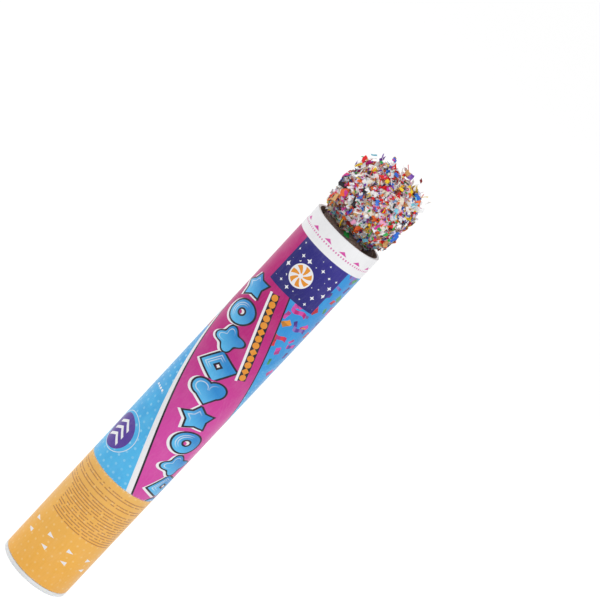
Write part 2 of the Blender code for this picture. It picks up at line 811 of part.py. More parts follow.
def plume_point(angle, z, ellipse):
    """A point of the confetti's surface, held by the bore up to the rim and by the flare above."""
    x, y, half_width, half_depth = ellipse
    above = max(0.0, z - LENGTH)
    bulge = sum(size * math.sin(n * angle + pitch * z) for n, pitch, size in PLUME_LUMPS)
    swell = 1.0 + bulge * min(1.0, above / CROWN_RISE)
    x += half_width * swell * math.cos(angle)
    y += half_depth * swell * math.sin(angle)
    limit = min(CHARGE_R + above * PLUME_FLARE, OUTER_R)
    hold = min(1.0, limit / math.hypot(x, y))
    tufts = PLUME_RISE - TUFTS_RISE
    part = max(0.0, above - TUFTS_RISE) / tufts
    valley = (1 - math.sin(TUFTS * angle + TUFT_TURN)) / 2
    dip = TUFT_DIP * valley * part * (1 - part) * tufts
    return x * hold, y * hold, z - dip


def confetti_charge(material, parent):
    """The packed confetti and what bursts out of the muzzle, as one closed form."""
    mesh_data = bmesh.new()
    foot = mesh_data.verts.new((0.0, 0.0, CHARGE_BOTTOM))
    tip = mesh_data.verts.new((CROWN_SIDE, CROWN_OFFSET, LENGTH + PLUME_RISE))
    base = (CHARGE_BOTTOM, (0.0, 0.0, CHARGE_R, CHARGE_R))
    rows = [
        [mesh_data.verts.new(plume_point(angle, z, ellipse)) for angle in spaced(FINE_STEPS)]
        for z, ellipse in [base] + plume_rows()
    ]
    for i in range(FINE_STEPS):
        j = (i + 1) % FINE_STEPS
        mesh_data.faces.new((foot, rows[0][j], rows[0][i]))
        mesh_data.faces.new((tip, rows[-1][i], rows[-1][j]))
        for lower, upper in zip(rows, rows[1:]):
            mesh_data.faces.new((lower[i], lower[j], upper[j], upper[i]))
    return placed("confetti_charge", mesh_data, material, parent)


def body_origin(name, parent=None):
    """Empty on the tube's axis that carries one moving body."""
    empty = bpy.data.objects.new(name, None)
    empty.empty_display_size = OUTER_R
    bpy.context.scene.collection.objects.link(empty)
    empty.parent = parent
    return empty


def build():
    """Make every piece on the body that carries it."""
    for item in list(bpy.data.objects):
        bpy.data.objects.remove(item, do_unlink=True)

    grip = body_origin("grip")
    barrel = body_origin("barrel", grip)
    plug = body_origin("plug", grip)
    charge = body_origin("charge", barrel)

    cardboard = finish("cardboard", (70, 58, 50), 0.85)
    white_plastic = finish("white_plastic", (232, 232, 232), 0.4)
    natural_plastic = finish("natural_plastic", (222, 222, 214), 0.35)
    black_rubber = finish("black_rubber", (28, 28, 30), 0.7)

    end_cap(white_plastic, grip)
    base_pad(finish("pad_foam", (60, 60, 64), 0.95), grip)
    tube_with_windows("grip_tube", TUBE_BOTTOM, GRIP_TOP, SPIDER_MIDDLE, cardboard, grip)
    grip_print = finish("grip_print", (238, 182, 90), 0.35, 0.4)
    wrap("grip_wrap", TUBE_BOTTOM, GRIP_TOP, False, grip_print, grip)
    bottle_cradle(finish("cradle_plastic", (60, 62, 68), 0.5), grip)
    air_bottle(natural_plastic, grip)
    fill_valve(black_rubber, grip)
    neck_gasket(black_rubber, grip)
    valve_body(finish("valve_plastic", (205, 60, 52), 0.4), grip)
    retaining_ring(finish("spring_steel", (150, 152, 158), 0.3), grip)

    valve_plug(finish("plug_plastic", (236, 200, 70), 0.4), plug)
    for name, z in zip(("plug_seal_lower", "plug_seal_upper"), seal_heights()):
        plug_seal(name, z, black_rubber, plug)

    tube_with_windows("barrel_tube", BARREL_BOTTOM, TUBE_TOP, COLLAR_LUG_Z, cardboard, barrel)
    barrel_print = finish("barrel_print", (72, 168, 228), 0.3, 0.5)
    wrap("barrel_wrap", BARREL_BOTTOM, LENGTH, True, barrel_print, barrel)
    cam_collar(finish("collar_plastic", (240, 240, 236), 0.4), barrel)
    burst_seal(finish("dark_foil", (52, 44, 42), 0.45), barrel)

    pusher_disc(finish("grey_board", (150, 142, 130), 0.9), charge)
    foam_wad(finish("wad_foam", (225, 225, 228), 0.95), charge)
    confetti_charge(finish("confetti", (214, 176, 190), 0.6), charge)


build()
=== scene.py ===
"""Looks of the twist-and-fire party popper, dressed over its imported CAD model.

Every length is in metres unless a name ends in _mm. The tube stands on the Z axis with its muzzle
up and its printed front towards -Y. The printed papers carry a UV map named "print" that holds
millimetres: how far round the tube from the front, and how high above the floor.
"""

from __future__ import annotations

import logging
import math
from collections.abc import Callable, Iterator, Sequence
from contextlib import contextmanager
from dataclasses import dataclass
from enum import Enum
from typing import Union

import bmesh
import bpy
from mathutils import Matrix, Vector, noise

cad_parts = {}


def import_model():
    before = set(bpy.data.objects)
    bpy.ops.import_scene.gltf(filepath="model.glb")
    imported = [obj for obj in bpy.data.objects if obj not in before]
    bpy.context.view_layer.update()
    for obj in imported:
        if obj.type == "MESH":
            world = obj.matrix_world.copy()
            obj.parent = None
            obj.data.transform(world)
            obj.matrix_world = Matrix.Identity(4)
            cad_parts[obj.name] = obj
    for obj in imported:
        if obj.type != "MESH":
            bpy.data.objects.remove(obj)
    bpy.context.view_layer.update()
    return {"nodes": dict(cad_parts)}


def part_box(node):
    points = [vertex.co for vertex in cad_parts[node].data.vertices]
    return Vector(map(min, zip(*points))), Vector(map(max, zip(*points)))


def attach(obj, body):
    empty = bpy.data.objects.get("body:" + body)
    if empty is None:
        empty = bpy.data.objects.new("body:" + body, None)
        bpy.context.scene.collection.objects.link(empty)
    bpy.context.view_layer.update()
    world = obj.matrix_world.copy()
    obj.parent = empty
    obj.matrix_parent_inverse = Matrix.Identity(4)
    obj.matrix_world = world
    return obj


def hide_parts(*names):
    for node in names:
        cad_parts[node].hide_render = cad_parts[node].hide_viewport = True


LOG = logging.getLogger("party_popper")
MM = 0.001
ROUND_MM = math.pi * 50.0
SEAL_ROOM = 0.8 * MM
PRINT_MAP = "print"
TINT = "tint"
SHEEN = "sheen"

Colour = tuple[float, float, float]
Outline = list[tuple[float, float]]
Ellipse = tuple[float, float, float, float]


class Body(Enum):
    """The bodies that pieces ride on."""

    GRIP = "grip"
    BARREL = "barrel"
    PLUG = "plug"
    CHARGE = "charge"


def rgb(red: int, green: int, blue: int) -> Colour:
    """Turn an sRGB colour into the linear one that a shader takes.

    Args:
        red, green, blue: channels from 0 to 255.

    Returns:
        The linear colour.
    """

    def one(channel: int) -> float:
        """One channel, made linear."""
        part = channel / 255
        return part / 12.92 if part <= 0.04045 else ((part + 0.055) / 1.055) ** 2.4

    return one(red), one(green), one(blue)


def shaded(colour: Colour, factor: float) -> Colour:
    """A colour made darker or lighter by a factor, and held at full strength."""
    return tuple(min(1.0, channel * factor) for channel in colour)


class Sock:
    """A node's output that takes part in Python arithmetic and adds its Math nodes."""

    def __init__(self, graph: Graph, socket: bpy.types.NodeSocket) -> None:
        """Keep the graph and the socket."""
        self.graph = graph
        self.socket = socket

    def _op(self, operation: str, *values: Value, clamp: bool = False) -> Sock:
        """Add one Math node on this socket and the values."""
        return self.graph.math(operation, self, *values, clamp=clamp)

    def __add__(self, other: Value) -> Sock:
        """Sum."""
        return self._op("ADD", other)

    def __radd__(self, other: Value) -> Sock:
        """Sum with the number on the left."""
        return self.graph.math("ADD", other, self)

    def __sub__(self, other: Value) -> Sock:
        """Difference."""
        return self._op("SUBTRACT", other)

    def __rsub__(self, other: Value) -> Sock:
        """Difference from the number on the left."""
        return self.graph.math("SUBTRACT", other, self)

    def __mul__(self, other: Value) -> Sock:
        """Product."""
        return self._op("MULTIPLY", other)

    def __rmul__(self, other: Value) -> Sock:
        """Product with the number on the left."""
        return self.graph.math("MULTIPLY", other, self)

    def __truediv__(self, other: Value) -> Sock:
        """Quotient."""
        return self._op("DIVIDE", other)

    def __rtruediv__(self, other: Value) -> Sock:
        """Quotient of the number on the left."""
        return self.graph.math("DIVIDE", other, self)

    def __abs__(self) -> Sock:
        """Absolute value."""
        return self._op("ABSOLUTE")

    def __lt__(self, other: Value) -> Sock:
        """One where this is less, zero elsewhere."""
        return self._op("LESS_THAN", other)

    def __gt__(self, other: Value) -> Sock:
        """One where this is greater, zero elsewhere."""
        return self._op("GREATER_THAN", other)

    def least(self, other: Value) -> Sock:
        """Smaller of the two."""
        return self._op("MINIMUM", other)

    def most(self, other: Value) -> Sock:
        """Larger of the two."""
        return self._op("MAXIMUM", other)

    def floor(self) -> Sock:
        """Whole part."""
        return self._op("FLOOR")

    def fraction(self) -> Sock:
        """Part after the point."""
        return self._op("FRACT")

    def modulo(self, step: float) -> Sock:
        """Remainder that is never negative."""
        return self._op("FLOORED_MODULO", step)

    def sine(self) -> Sock:
        """Sine."""
        return self._op("SINE")

    def cosine(self) -> Sock:
        """Cosine."""
        return self._op("COSINE")

    def ping_pong(self, span: float) -> Sock:
        """Triangle wave between 0 and the span."""
        return self._op("PINGPONG", span)

    def eased(self, limit: Value, span: Value) -> Sock:
        """This value up to a span before the limit, then approaching the limit ever more slowly."""
        start = limit - span
        over = (self - start).most(0.0) / span
        return self.least(start) + over._op("TANH") * span

    def inside(self, soft: float = 0.14) -> Sock:
        """One where this distance is negative, with an edge as wide as soft."""
        return self.graph.math("MULTIPLY_ADD", self, -1 / soft, 0.5, clamp=True)

    def ramp(self, low: float, high: float) -> Sock:
        """Rise from 0 at low to 1 at high, held there."""
        span = high - low
        return self.graph.math("MULTIPLY_ADD", self, 1 / span, -low / span, clamp=True)


Value = Union[Sock, float]
Paint = Union[Sock, Colour]
Stops = Sequence[tuple[float, Colour]]


class Graph:
    """Builds a shader or geometry node tree from Python values."""

    def __init__(self, tree: bpy.types.NodeTree) -> None:
        """Keep the tree to build in."""
        self.tree = tree

    def node(
        self,
        kind: str,
        settings: dict[str, object] | None = None,
        inputs: dict[str | int, object] | None = None,
    ) -> bpy.types.Node:
        """Add a node.

        Args:
            kind: the node's type.
            settings: attributes set before the sockets, such as an operation or a ramp's stops.
            inputs: values or links, by a socket's name or index.

        Returns:
            The new node.
        """
        node = self.tree.nodes.new(kind)
        for key, value in (settings or {}).items():
            if key == "stops":
                self._set_stops(node.color_ramp, value)
            else:
                setattr(node, key, value)
        for key, value in (inputs or {}).items():
            self.feed(node.inputs[key], value)
        return node

    @staticmethod
    def _set_stops(ramp: bpy.types.ColorRamp, stops: Stops) -> None:
        """Give a colour ramp its stops, each colour held up to the next one.

        Args:
            ramp: the ramp.
            stops: each stop's place and colour.
        """
        ramp.interpolation = "CONSTANT"
        while len(ramp.elements) < len(stops):
            ramp.elements.new(0.5)
        for element, (place, colour) in zip(ramp.elements, stops):
            element.position = place
            element.color = (*colour, 1.0)

    def feed(self, target: bpy.types.NodeSocket, value: object) -> None:
        """Link a socket to the target, or set the target's own value.

        Args:
            target: the socket that is fed.
            value: an output to link, or a plain value.
        """
        if isinstance(value, Sock):
            self.tree.links.new(value.socket, target)
        elif isinstance(value, bpy.types.NodeSocket):
            self.tree.links.new(value, target)
        elif target.type == "RGBA" and len(value) == 3:
            target.default_value = (*value, 1.0)
        else:
            target.default_value = value

    def out(self, node: bpy.types.Node, key: str | int = 0) -> Sock:
        """Wrap one output of a node."""
        return Sock(self, node.outputs[key])

    def math(self, operation: str, *values: Value, clamp: bool = False) -> Sock:
        """Add a Math node.

        Args:
            operation: the node's operation.
            values: up to three numbers or sockets.
            clamp: whether the result is held between 0 and 1.

        Returns:
            The result.
        """
        settings = {"operation": operation, "use_clamp": clamp}
        return self.out(self.node("ShaderNodeMath", settings, dict(enumerate(values))))

    def mix(self, share: Value, first: Paint, second: Paint) -> Sock:
        """Mix two colours, the share being how much of the second shows."""
        settings = {"data_type": "RGBA"}
        return self.out(self.node("ShaderNodeMix", settings, {0: share, 6: first, 7: second}), 2)

    def length(self, x: Value, y: Value) -> Sock:
        """Length of the vector (x, y)."""
        settings = {"operation": "LENGTH"}
        return self.out(self.node("ShaderNodeVectorMath", settings, {0: self.vector(x, y)}), "Value")

    def vector(self, x: Value = 0.0, y: Value = 0.0, z: Value = 0.0) -> Sock:
        """Join three values to a vector."""
        return self.out(self.node("ShaderNodeCombineXYZ", None, {0: x, 1: y, 2: z}))

    def split(self, vector: Sock) -> tuple[Sock, Sock, Sock]:
        """The three components of a vector."""
        node = self.node("ShaderNodeSeparateXYZ", None, {0: vector})
        return self.out(node, 0), self.out(node, 1), self.out(node, 2)

    def noise(self, where: Sock, scale: float, detail: float = 2.0, rough: float = 0.5) -> Sock:
        """Noise between 0 and 1 over a position."""
        values = {"Vector": where, "Scale": scale, "Detail": detail, "Roughness": rough}
        return self.out(self.node("ShaderNodeTexNoise", None, values))

    def chance(self, x: Value, y: Value) -> tuple[Sock, Sock, Sock]:
        """Three random numbers for each whole pair (x, y)."""
        settings = {"noise_dimensions": "2D"}
        white = self.node("ShaderNodeTexWhiteNoise", settings, {"Vector": self.vector(x, y)})
        return self.split(self.out(white, "Color"))

    def pick(self, share: Value, stops: Stops) -> Sock:
        """The colour that a ramp has at a share from 0 to 1."""
        return self.out(self.node("ShaderNodeValToRGB", {"stops": stops}, {0: share}))


class Shader(Graph):
    """A material's graph around one Principled shader."""

    def __init__(self, name: str) -> None:
        """Make a material with a bare Principled shader.

        Args:
            name: the material's name.
        """
        self.material = bpy.data.materials.new(name)
        self.material.use_nodes = True
        super().__init__(self.material.node_tree)
        self.surface = self.tree.nodes["Principled BSDF"]

    def place(self) -> Sock:
        """Position on the object, in metres."""
        return self.out(self.node("ShaderNodeTexCoord"), "Object")

    def print_place(self) -> tuple[Sock, Sock]:
        """Place on a printed paper: millimetres round the tube and up it."""
        where = self.node("ShaderNodeUVMap", {"uv_map": PRINT_MAP})
        across, up, _ = self.split(self.out(where))
        return across, up

    def attribute(self, name: str) -> Sock:
        """A number stored on the mesh."""
        return self.out(self.node("ShaderNodeAttribute", {"attribute_name": name}), "Fac")

    def cells_of(self, where: Sock, cell_mm: float) -> bpy.types.Node:
        """Round cells of a size over a position."""
        return self.node("ShaderNodeTexVoronoi", None, {"Vector": where, "Scale": 1 / (cell_mm * MM)})

    def bump(self, height: Sock, depth: float) -> None:
        """Raise the surface by a height from 0 to 1 times the depth in metres."""
        node = self.node("ShaderNodeBump", None, {"Strength": 1.0, "Distance": depth, "Height": height})
        self.feed(self.surface.inputs["Normal"], node.outputs[0])

    def set(self, **values: object) -> None:
        """Set or link sockets of the Principled shader, named with underscores."""
        for key, value in values.items():
            title = key.replace("_", " ").title().replace("Ior", "IOR")
            self.feed(self.surface.inputs[title], value)


@dataclass(frozen=True)
class Finish:
    """What every plain finish has: a name, and a way to paint itself from the place on the object."""

    name: str

    def material(self) -> bpy.types.Material:
        """Build the material.

        Returns:
            The material.
        """
        shader = Shader(self.name)
        self.paint(shader, shader.place())
        return shader.material

    def paint(self, shader: Shader, where: Sock) -> None:
        """Set the shader's sockets; each finish has its own."""
        raise NotImplementedError


@dataclass(frozen=True)
class Moulding(Finish):
    """Moulded plastic or rubber: one colour, a fine spark texture and faint flow marks."""

    colour: Colour
    roughness: float = 0.4
    grain_mm: float = 0.5
    relief: float = 0.02
    subsurface: float = 0.0

    def paint(self, shader: Shader, where: Sock) -> None:
        """Cloud the colour a little and grain the surface.

        Args:
            shader: the material's graph.
            where: the place on the object.
        """
        cloud = shader.noise(where, 40.0, 3.0)
        grain = shader.noise(where, 1 / (self.grain_mm * MM), 2.0)
        shader.set(
            base_color=shader.mix(cloud.ramp(0.35, 0.7), shaded(self.colour, 0.88), self.colour),
            roughness=self.roughness + (cloud - 0.5) * 0.16,
            subsurface_weight=self.subsurface,
        )
        shader.bump(grain * 0.6 + cloud * 0.4, self.relief * MM)


@dataclass(frozen=True)
class Steel(Finish):
    """Blued spring steel with a drawn grain."""

    colour: Colour = rgb(150, 152, 158)
    stain: Colour = rgb(96, 92, 96)

    def paint(self, shader: Shader, where: Sock) -> None:
        """Stain the steel and draw its grain.

        Args:
            shader: the material's graph.
            where: the place on the object.
        """
        stain = shader.noise(where, 220.0, 4.0)
        shader.set(
            base_color=shader.mix(stain, self.colour, self.stain),
            metallic=1.0,
            roughness=0.24 + stain * 0.2,
        )
        shader.bump(shader.noise(where, 2600.0), 0.004 * MM)


@dataclass(frozen=True)
class Card(Finish):
    """Spiral-wound cardboard: fibres, and the edges of the plies running round as a helix."""

    colour: Colour
    ply_mm: float = 34.0
    fibre_mm: float = 0.35

    def paint(self, shader: Shader, where: Sock) -> None:
        """Lay the fibres, the streaks of the winding and the dark ply edges.

        Args:
            shader: the material's graph.
            where: the place on the object.
        """
        x, y, z = shader.split(where)
        turn = shader.math("ARCTAN2", y, x) / math.tau
        along = z / (self.ply_mm * MM) + turn
        edge = (along.fraction() - 0.5).ramp(0.47, 0.5)
        fibre = shader.noise(where, 1 / (self.fibre_mm * MM), 4.0, 0.7)
        streak = shader.noise(shader.vector(along * 18.0, turn * 3.0), 3.0, 3.0)
        dark = shaded(self.colour, 0.6)
        tone = shader.mix(fibre.ramp(0.3, 0.75), self.colour, shaded(self.colour, 1.55))
        tone = shader.mix(streak.ramp(0.42, 0.75) * 0.6, tone, dark)
        shader.set(base_color=shader.mix(edge * 0.8, tone, dark), roughness=0.86)
        shader.bump(fibre * 0.6 - edge * 0.8 + streak * 0.25, 0.09 * MM)


@dataclass(frozen=True)
class Foam(Finish):
    """Closed-cell foam: small round cells cut open at the surface."""

    colour: Colour
    cell_mm: float = 0.7

    def paint(self, shader: Shader, where: Sock) -> None:
        """Darken the cut cells with painted shade, and deepen them.

        Args:
            shader: the material's graph.
            where: the place on the object.
        """
        cells = shader.cells_of(where, self.cell_mm)
        pit_and_shade = shader.out(cells, "Distance").ramp(0.1, 0.6)
        # The cut cells get painted shade in their colour, and the bump sinks them.
        shader.set(base_color=shader.mix(pit_and_shade, shaded(self.colour, 0.55), self.colour), roughness=0.95)
        shader.bump(pit_and_shade, 0.15 * MM)


@dataclass(frozen=True)
class TornFoil(Finish):
    """Dark metallised paper, creased where it tore."""

    colour: Colour = rgb(164, 144, 132)
    crease_and_shade: Colour = rgb(92, 80, 72)

    def paint(self, shader: Shader, where: Sock) -> None:
        """Darken the creases with painted shade, and raise them.

        Args:
            shader: the material's graph.
            where: the place on the object.
        """
        crease_and_shade = shader.noise(where, 320.0, 5.0, 0.65)
        # The creases are darkened with painted shade; the bump and roughness give their relief.
        shader.set(
            base_color=shader.mix(crease_and_shade.ramp(0.4, 0.7) * 0.6, self.colour, self.crease_and_shade),
            metallic=0.1,
            roughness=0.42 + crease_and_shade * 0.25,
        )
        shader.bump(crease_and_shade, 0.3 * MM)


class Figure(Enum):
    """Party figures that fill the ribbon in turn."""

    STAR = 0
    RING = 1
    CLOVER = 2
    LOZENGE = 3
    HEART = 4


@dataclass(frozen=True)
class Inks:
    """The colours of the printed papers."""

    sky: Colour = rgb(36, 147, 219)
    sky_pale: Colour = rgb(78, 188, 242)
    sky_dot: Colour = rgb(150, 216, 248)
    magenta: Colour = rgb(216, 68, 167)
    magenta_deep: Colour = rgb(186, 0, 116)
    pink: Colour = rgb(214, 70, 160)
    navy: Colour = rgb(18, 12, 112)
    navy_pale: Colour = rgb(42, 34, 138)
    violet: Colour = rgb(84, 52, 156)
    violet_pale: Colour = rgb(140, 110, 190)
    blue_fill: Colour = rgb(36, 140, 212)
    blue_light: Colour = rgb(92, 192, 244)
    outline: Colour = rgb(8, 6, 26)
    white: Colour = rgb(244, 244, 246)
    orange: Colour = rgb(236, 150, 36)
    grip: Colour = rgb(248, 184, 76)
    grip_deep: Colour = rgb(244, 187, 93)
    grip_dot: Colour = rgb(252, 214, 144)
    brown: Colour = rgb(136, 44, 50)
    red: Colour = rgb(220, 40, 60)
    green: Colour = rgb(70, 160, 96)
    scuff: Colour = rgb(30, 30, 40)


class PrintShader(Shader):
    """A printed and film-laminated paper; distances and places are in millimetres."""

    def __init__(self, name: str, inks: Inks) -> None:
        """Start with the place on the paper and the bare stock.

        Args:
            name: the material's name.
            inks: the print's colours.
        """
        super().__init__(name)
        self.inks = inks
        self.across, self.up = self.print_place()
        self.picture: Paint = inks.white

    def ink(self, mask: Value, colour: Paint) -> None:
        """Print a colour where the mask is one."""
        self.picture = self.mix(mask, self.picture, colour)

    def box(self, x: Sock, y: Sock, half_x: float, half_y: float) -> Sock:
        """Distance to a rectangle's edge, negative inside."""
        return (abs(x) - half_x).most(abs(y) - half_y)

    def disc(self, x: Sock, y: Sock, radius: float) -> Sock:
        """Distance to a circle."""
        return self.length(x, y) - radius

    def triangle(self, x: Sock, y: Sock, half_width: float, height: float) -> Sock:
        """Distance to a triangle that stands on y = 0 with its tip up."""
        slope = math.hypot(half_width, height)
        side = (abs(x) * height + y * half_width - half_width * height) / slope
        return side.most(0 - y)

    def star(self, x: Sock, y: Sock, outer: float, inner: float, points: int) -> Sock:
        """Distance to a star, from the line between a tip and the notch beside it.

        Args:
            x, y: the place from its middle.
            outer, inner: radii of its tips and its notches.
            points: how many tips it has.

        Returns:
            The distance, negative inside.
        """
        fold = math.pi / points
        radius = self.length(x, y)
        angle = self.math("ARCTAN2", x, y).ping_pong(fold)
        notch = Vector((inner * math.cos(fold), inner * math.sin(fold)))
        edge = (notch - Vector((outer, 0.0))).normalized()
        normal = Vector((-edge.y, edge.x)) * (1 if edge.x < 0 and edge.y > 0 else -1)
        normal = normal if normal.x > 0 else -normal
        return (radius * angle.cosine() - outer) * normal.x + radius * angle.sine() * normal.y

    def clover(self, x: Sock, y: Sock, radius: float, swell: float) -> Sock:
        """Distance to a four-leaved round figure."""
        angle = self.math("ARCTAN2", x, y)
        return self.length(x, y) - radius - (angle * 4.0).cosine() * swell

    def heart(self, x: Sock, y: Sock, radius: float) -> Sock:
        """Distance to a heart: two discs over a square that stands on its corner.

        Args:
            x, y: the place from its middle.
            radius: about half its width.

        Returns:
            The distance, negative inside.
        """
        side = abs(x)
        lobe = self.length(side - radius * 0.46, y + radius * 0.34) - radius * 0.64
        point = (side + y - radius * 0.92).most((side - y) * 0.7071 - radius * 0.72) * 0.8
        return lobe.least(point.most(0 - y - radius * 0.5))

    def cells(self, value: Sock, pitch: float) -> tuple[Sock, Sock]:
        """The number of a repeat and the place from its middle."""
        number = (value / pitch).floor()
        return number, value - (number + 0.5) * pitch

    def dots(self, radius: float, colour: Colour, strength: Value, count: int = 30) -> None:
        """Rows of faint dots, each row staggered to the last, some printed weaker.

        Args:
            radius: a dot's radius.
            colour: its ink.
            strength: how much of it shows.
            count: how many dots go round the tube.
        """
        pitch = ROUND_MM / count
        row, y = self.cells(self.up, pitch)
        column, x = self.cells(self.across + row * (pitch / 2), pitch)
        weaker, _, _ = self.chance(column, row)
        self.ink(self.disc(x, y, radius).inside(0.5) * strength * (1 - weaker * 0.6), colour)

    def finish(self, gloss: float, top_mm: float, bottom_mm: float) -> bpy.types.Material:
        """Lay the film over the picture, with patches of painted reflection and painted highlights along its
        creases, and scuff the cut edges.

        Args:
            gloss: roughness of the film.
            top_mm, bottom_mm: heights of the paper's cut ends.

        Returns:
            The material.
        """
        where = self.place()
        handled = self.noise(where, 26.0, 3.0)
        speck = self.noise(where, 900.0, 3.0, 0.7)
        nearest = abs(self.up - top_mm).least(abs(self.up - bottom_mm))
        worn = (1 - nearest.ramp(0.1, 0.9)) * speck.ramp(0.5, 0.62)
        self.ink(worn * 0.5, self.inks.white)
        rosette = self.noise(self.vector(self.across * 1.6, self.up * 1.6), 1.0, 2.0, 0.6)
        brushed = self.noise(self.vector(self.across / 1.5, self.up / 9), 1.0, 3.0, 0.6)
        # Pale patches of painted reflection on the film.
        painted_reflection = self.noise(where, 62.0, 4.0, 0.65).ramp(0.48, 0.8)
        creases_and_highlights = self._creases(where)
        # Lighten the print with mottling and grain lines, plus painted reflection in patches and painted
        # highlights on the creases.
        pale = rosette.ramp(0.35, 0.8) * 0.02 + brushed.ramp(0.5, 0.85) * 0.03
        pale = pale + painted_reflection * 0.05 + creases_and_highlights * 0.02
        grain_and_painted_sheen = self.mix(pale, self.picture, self.inks.white)
        dull = handled.ramp(0.3, 0.75) * 0.07 + brushed.ramp(0.5, 0.2) * 0.04
        shade = self.mix(dull, grain_and_painted_sheen, self.inks.scuff)
        long_crease = self.noise(self.vector(self.across / 9, self.up / 90), 1.0, 4.0, 0.6)
        self.set(
            base_color=shade,
            roughness=gloss + handled * 0.12 + speck * 0.05,
            specular_ior_level=0.26,
            coat_weight=0.1,
            coat_roughness=0.1,
        )
        relief = speck * 0.05 + brushed * 0.12 + handled * 0.4 + long_crease * 1.6 + creases_and_highlights * 0.35
        self.bump(relief, 0.16 * MM)
        return self.material

    def _creases(self, where: Sock) -> Sock:
        """Short slanting creases of the film in scattered patches, one where they are sharpest.

        Args:
            where: the place on the object.

        Returns:
            How much creasing is at the place; the film is raised there by the bump and lightened there as a
            painted highlight.
        """
        total: Value = 0.0
        for lean, patch_scale in ((17.0, 34.0), (-23.0, 41.0)):
            drift = self.vector(self.across / 9 + self.up / lean, self.up / 60, lean)
            line = 1 - abs(self.noise(drift, 1.0, 2.0) - 0.5).ramp(0.0, 0.018)
            patch = self.noise(where, patch_scale, 1.0).ramp(0.54, 0.64)
            total = line * patch + total
        return total


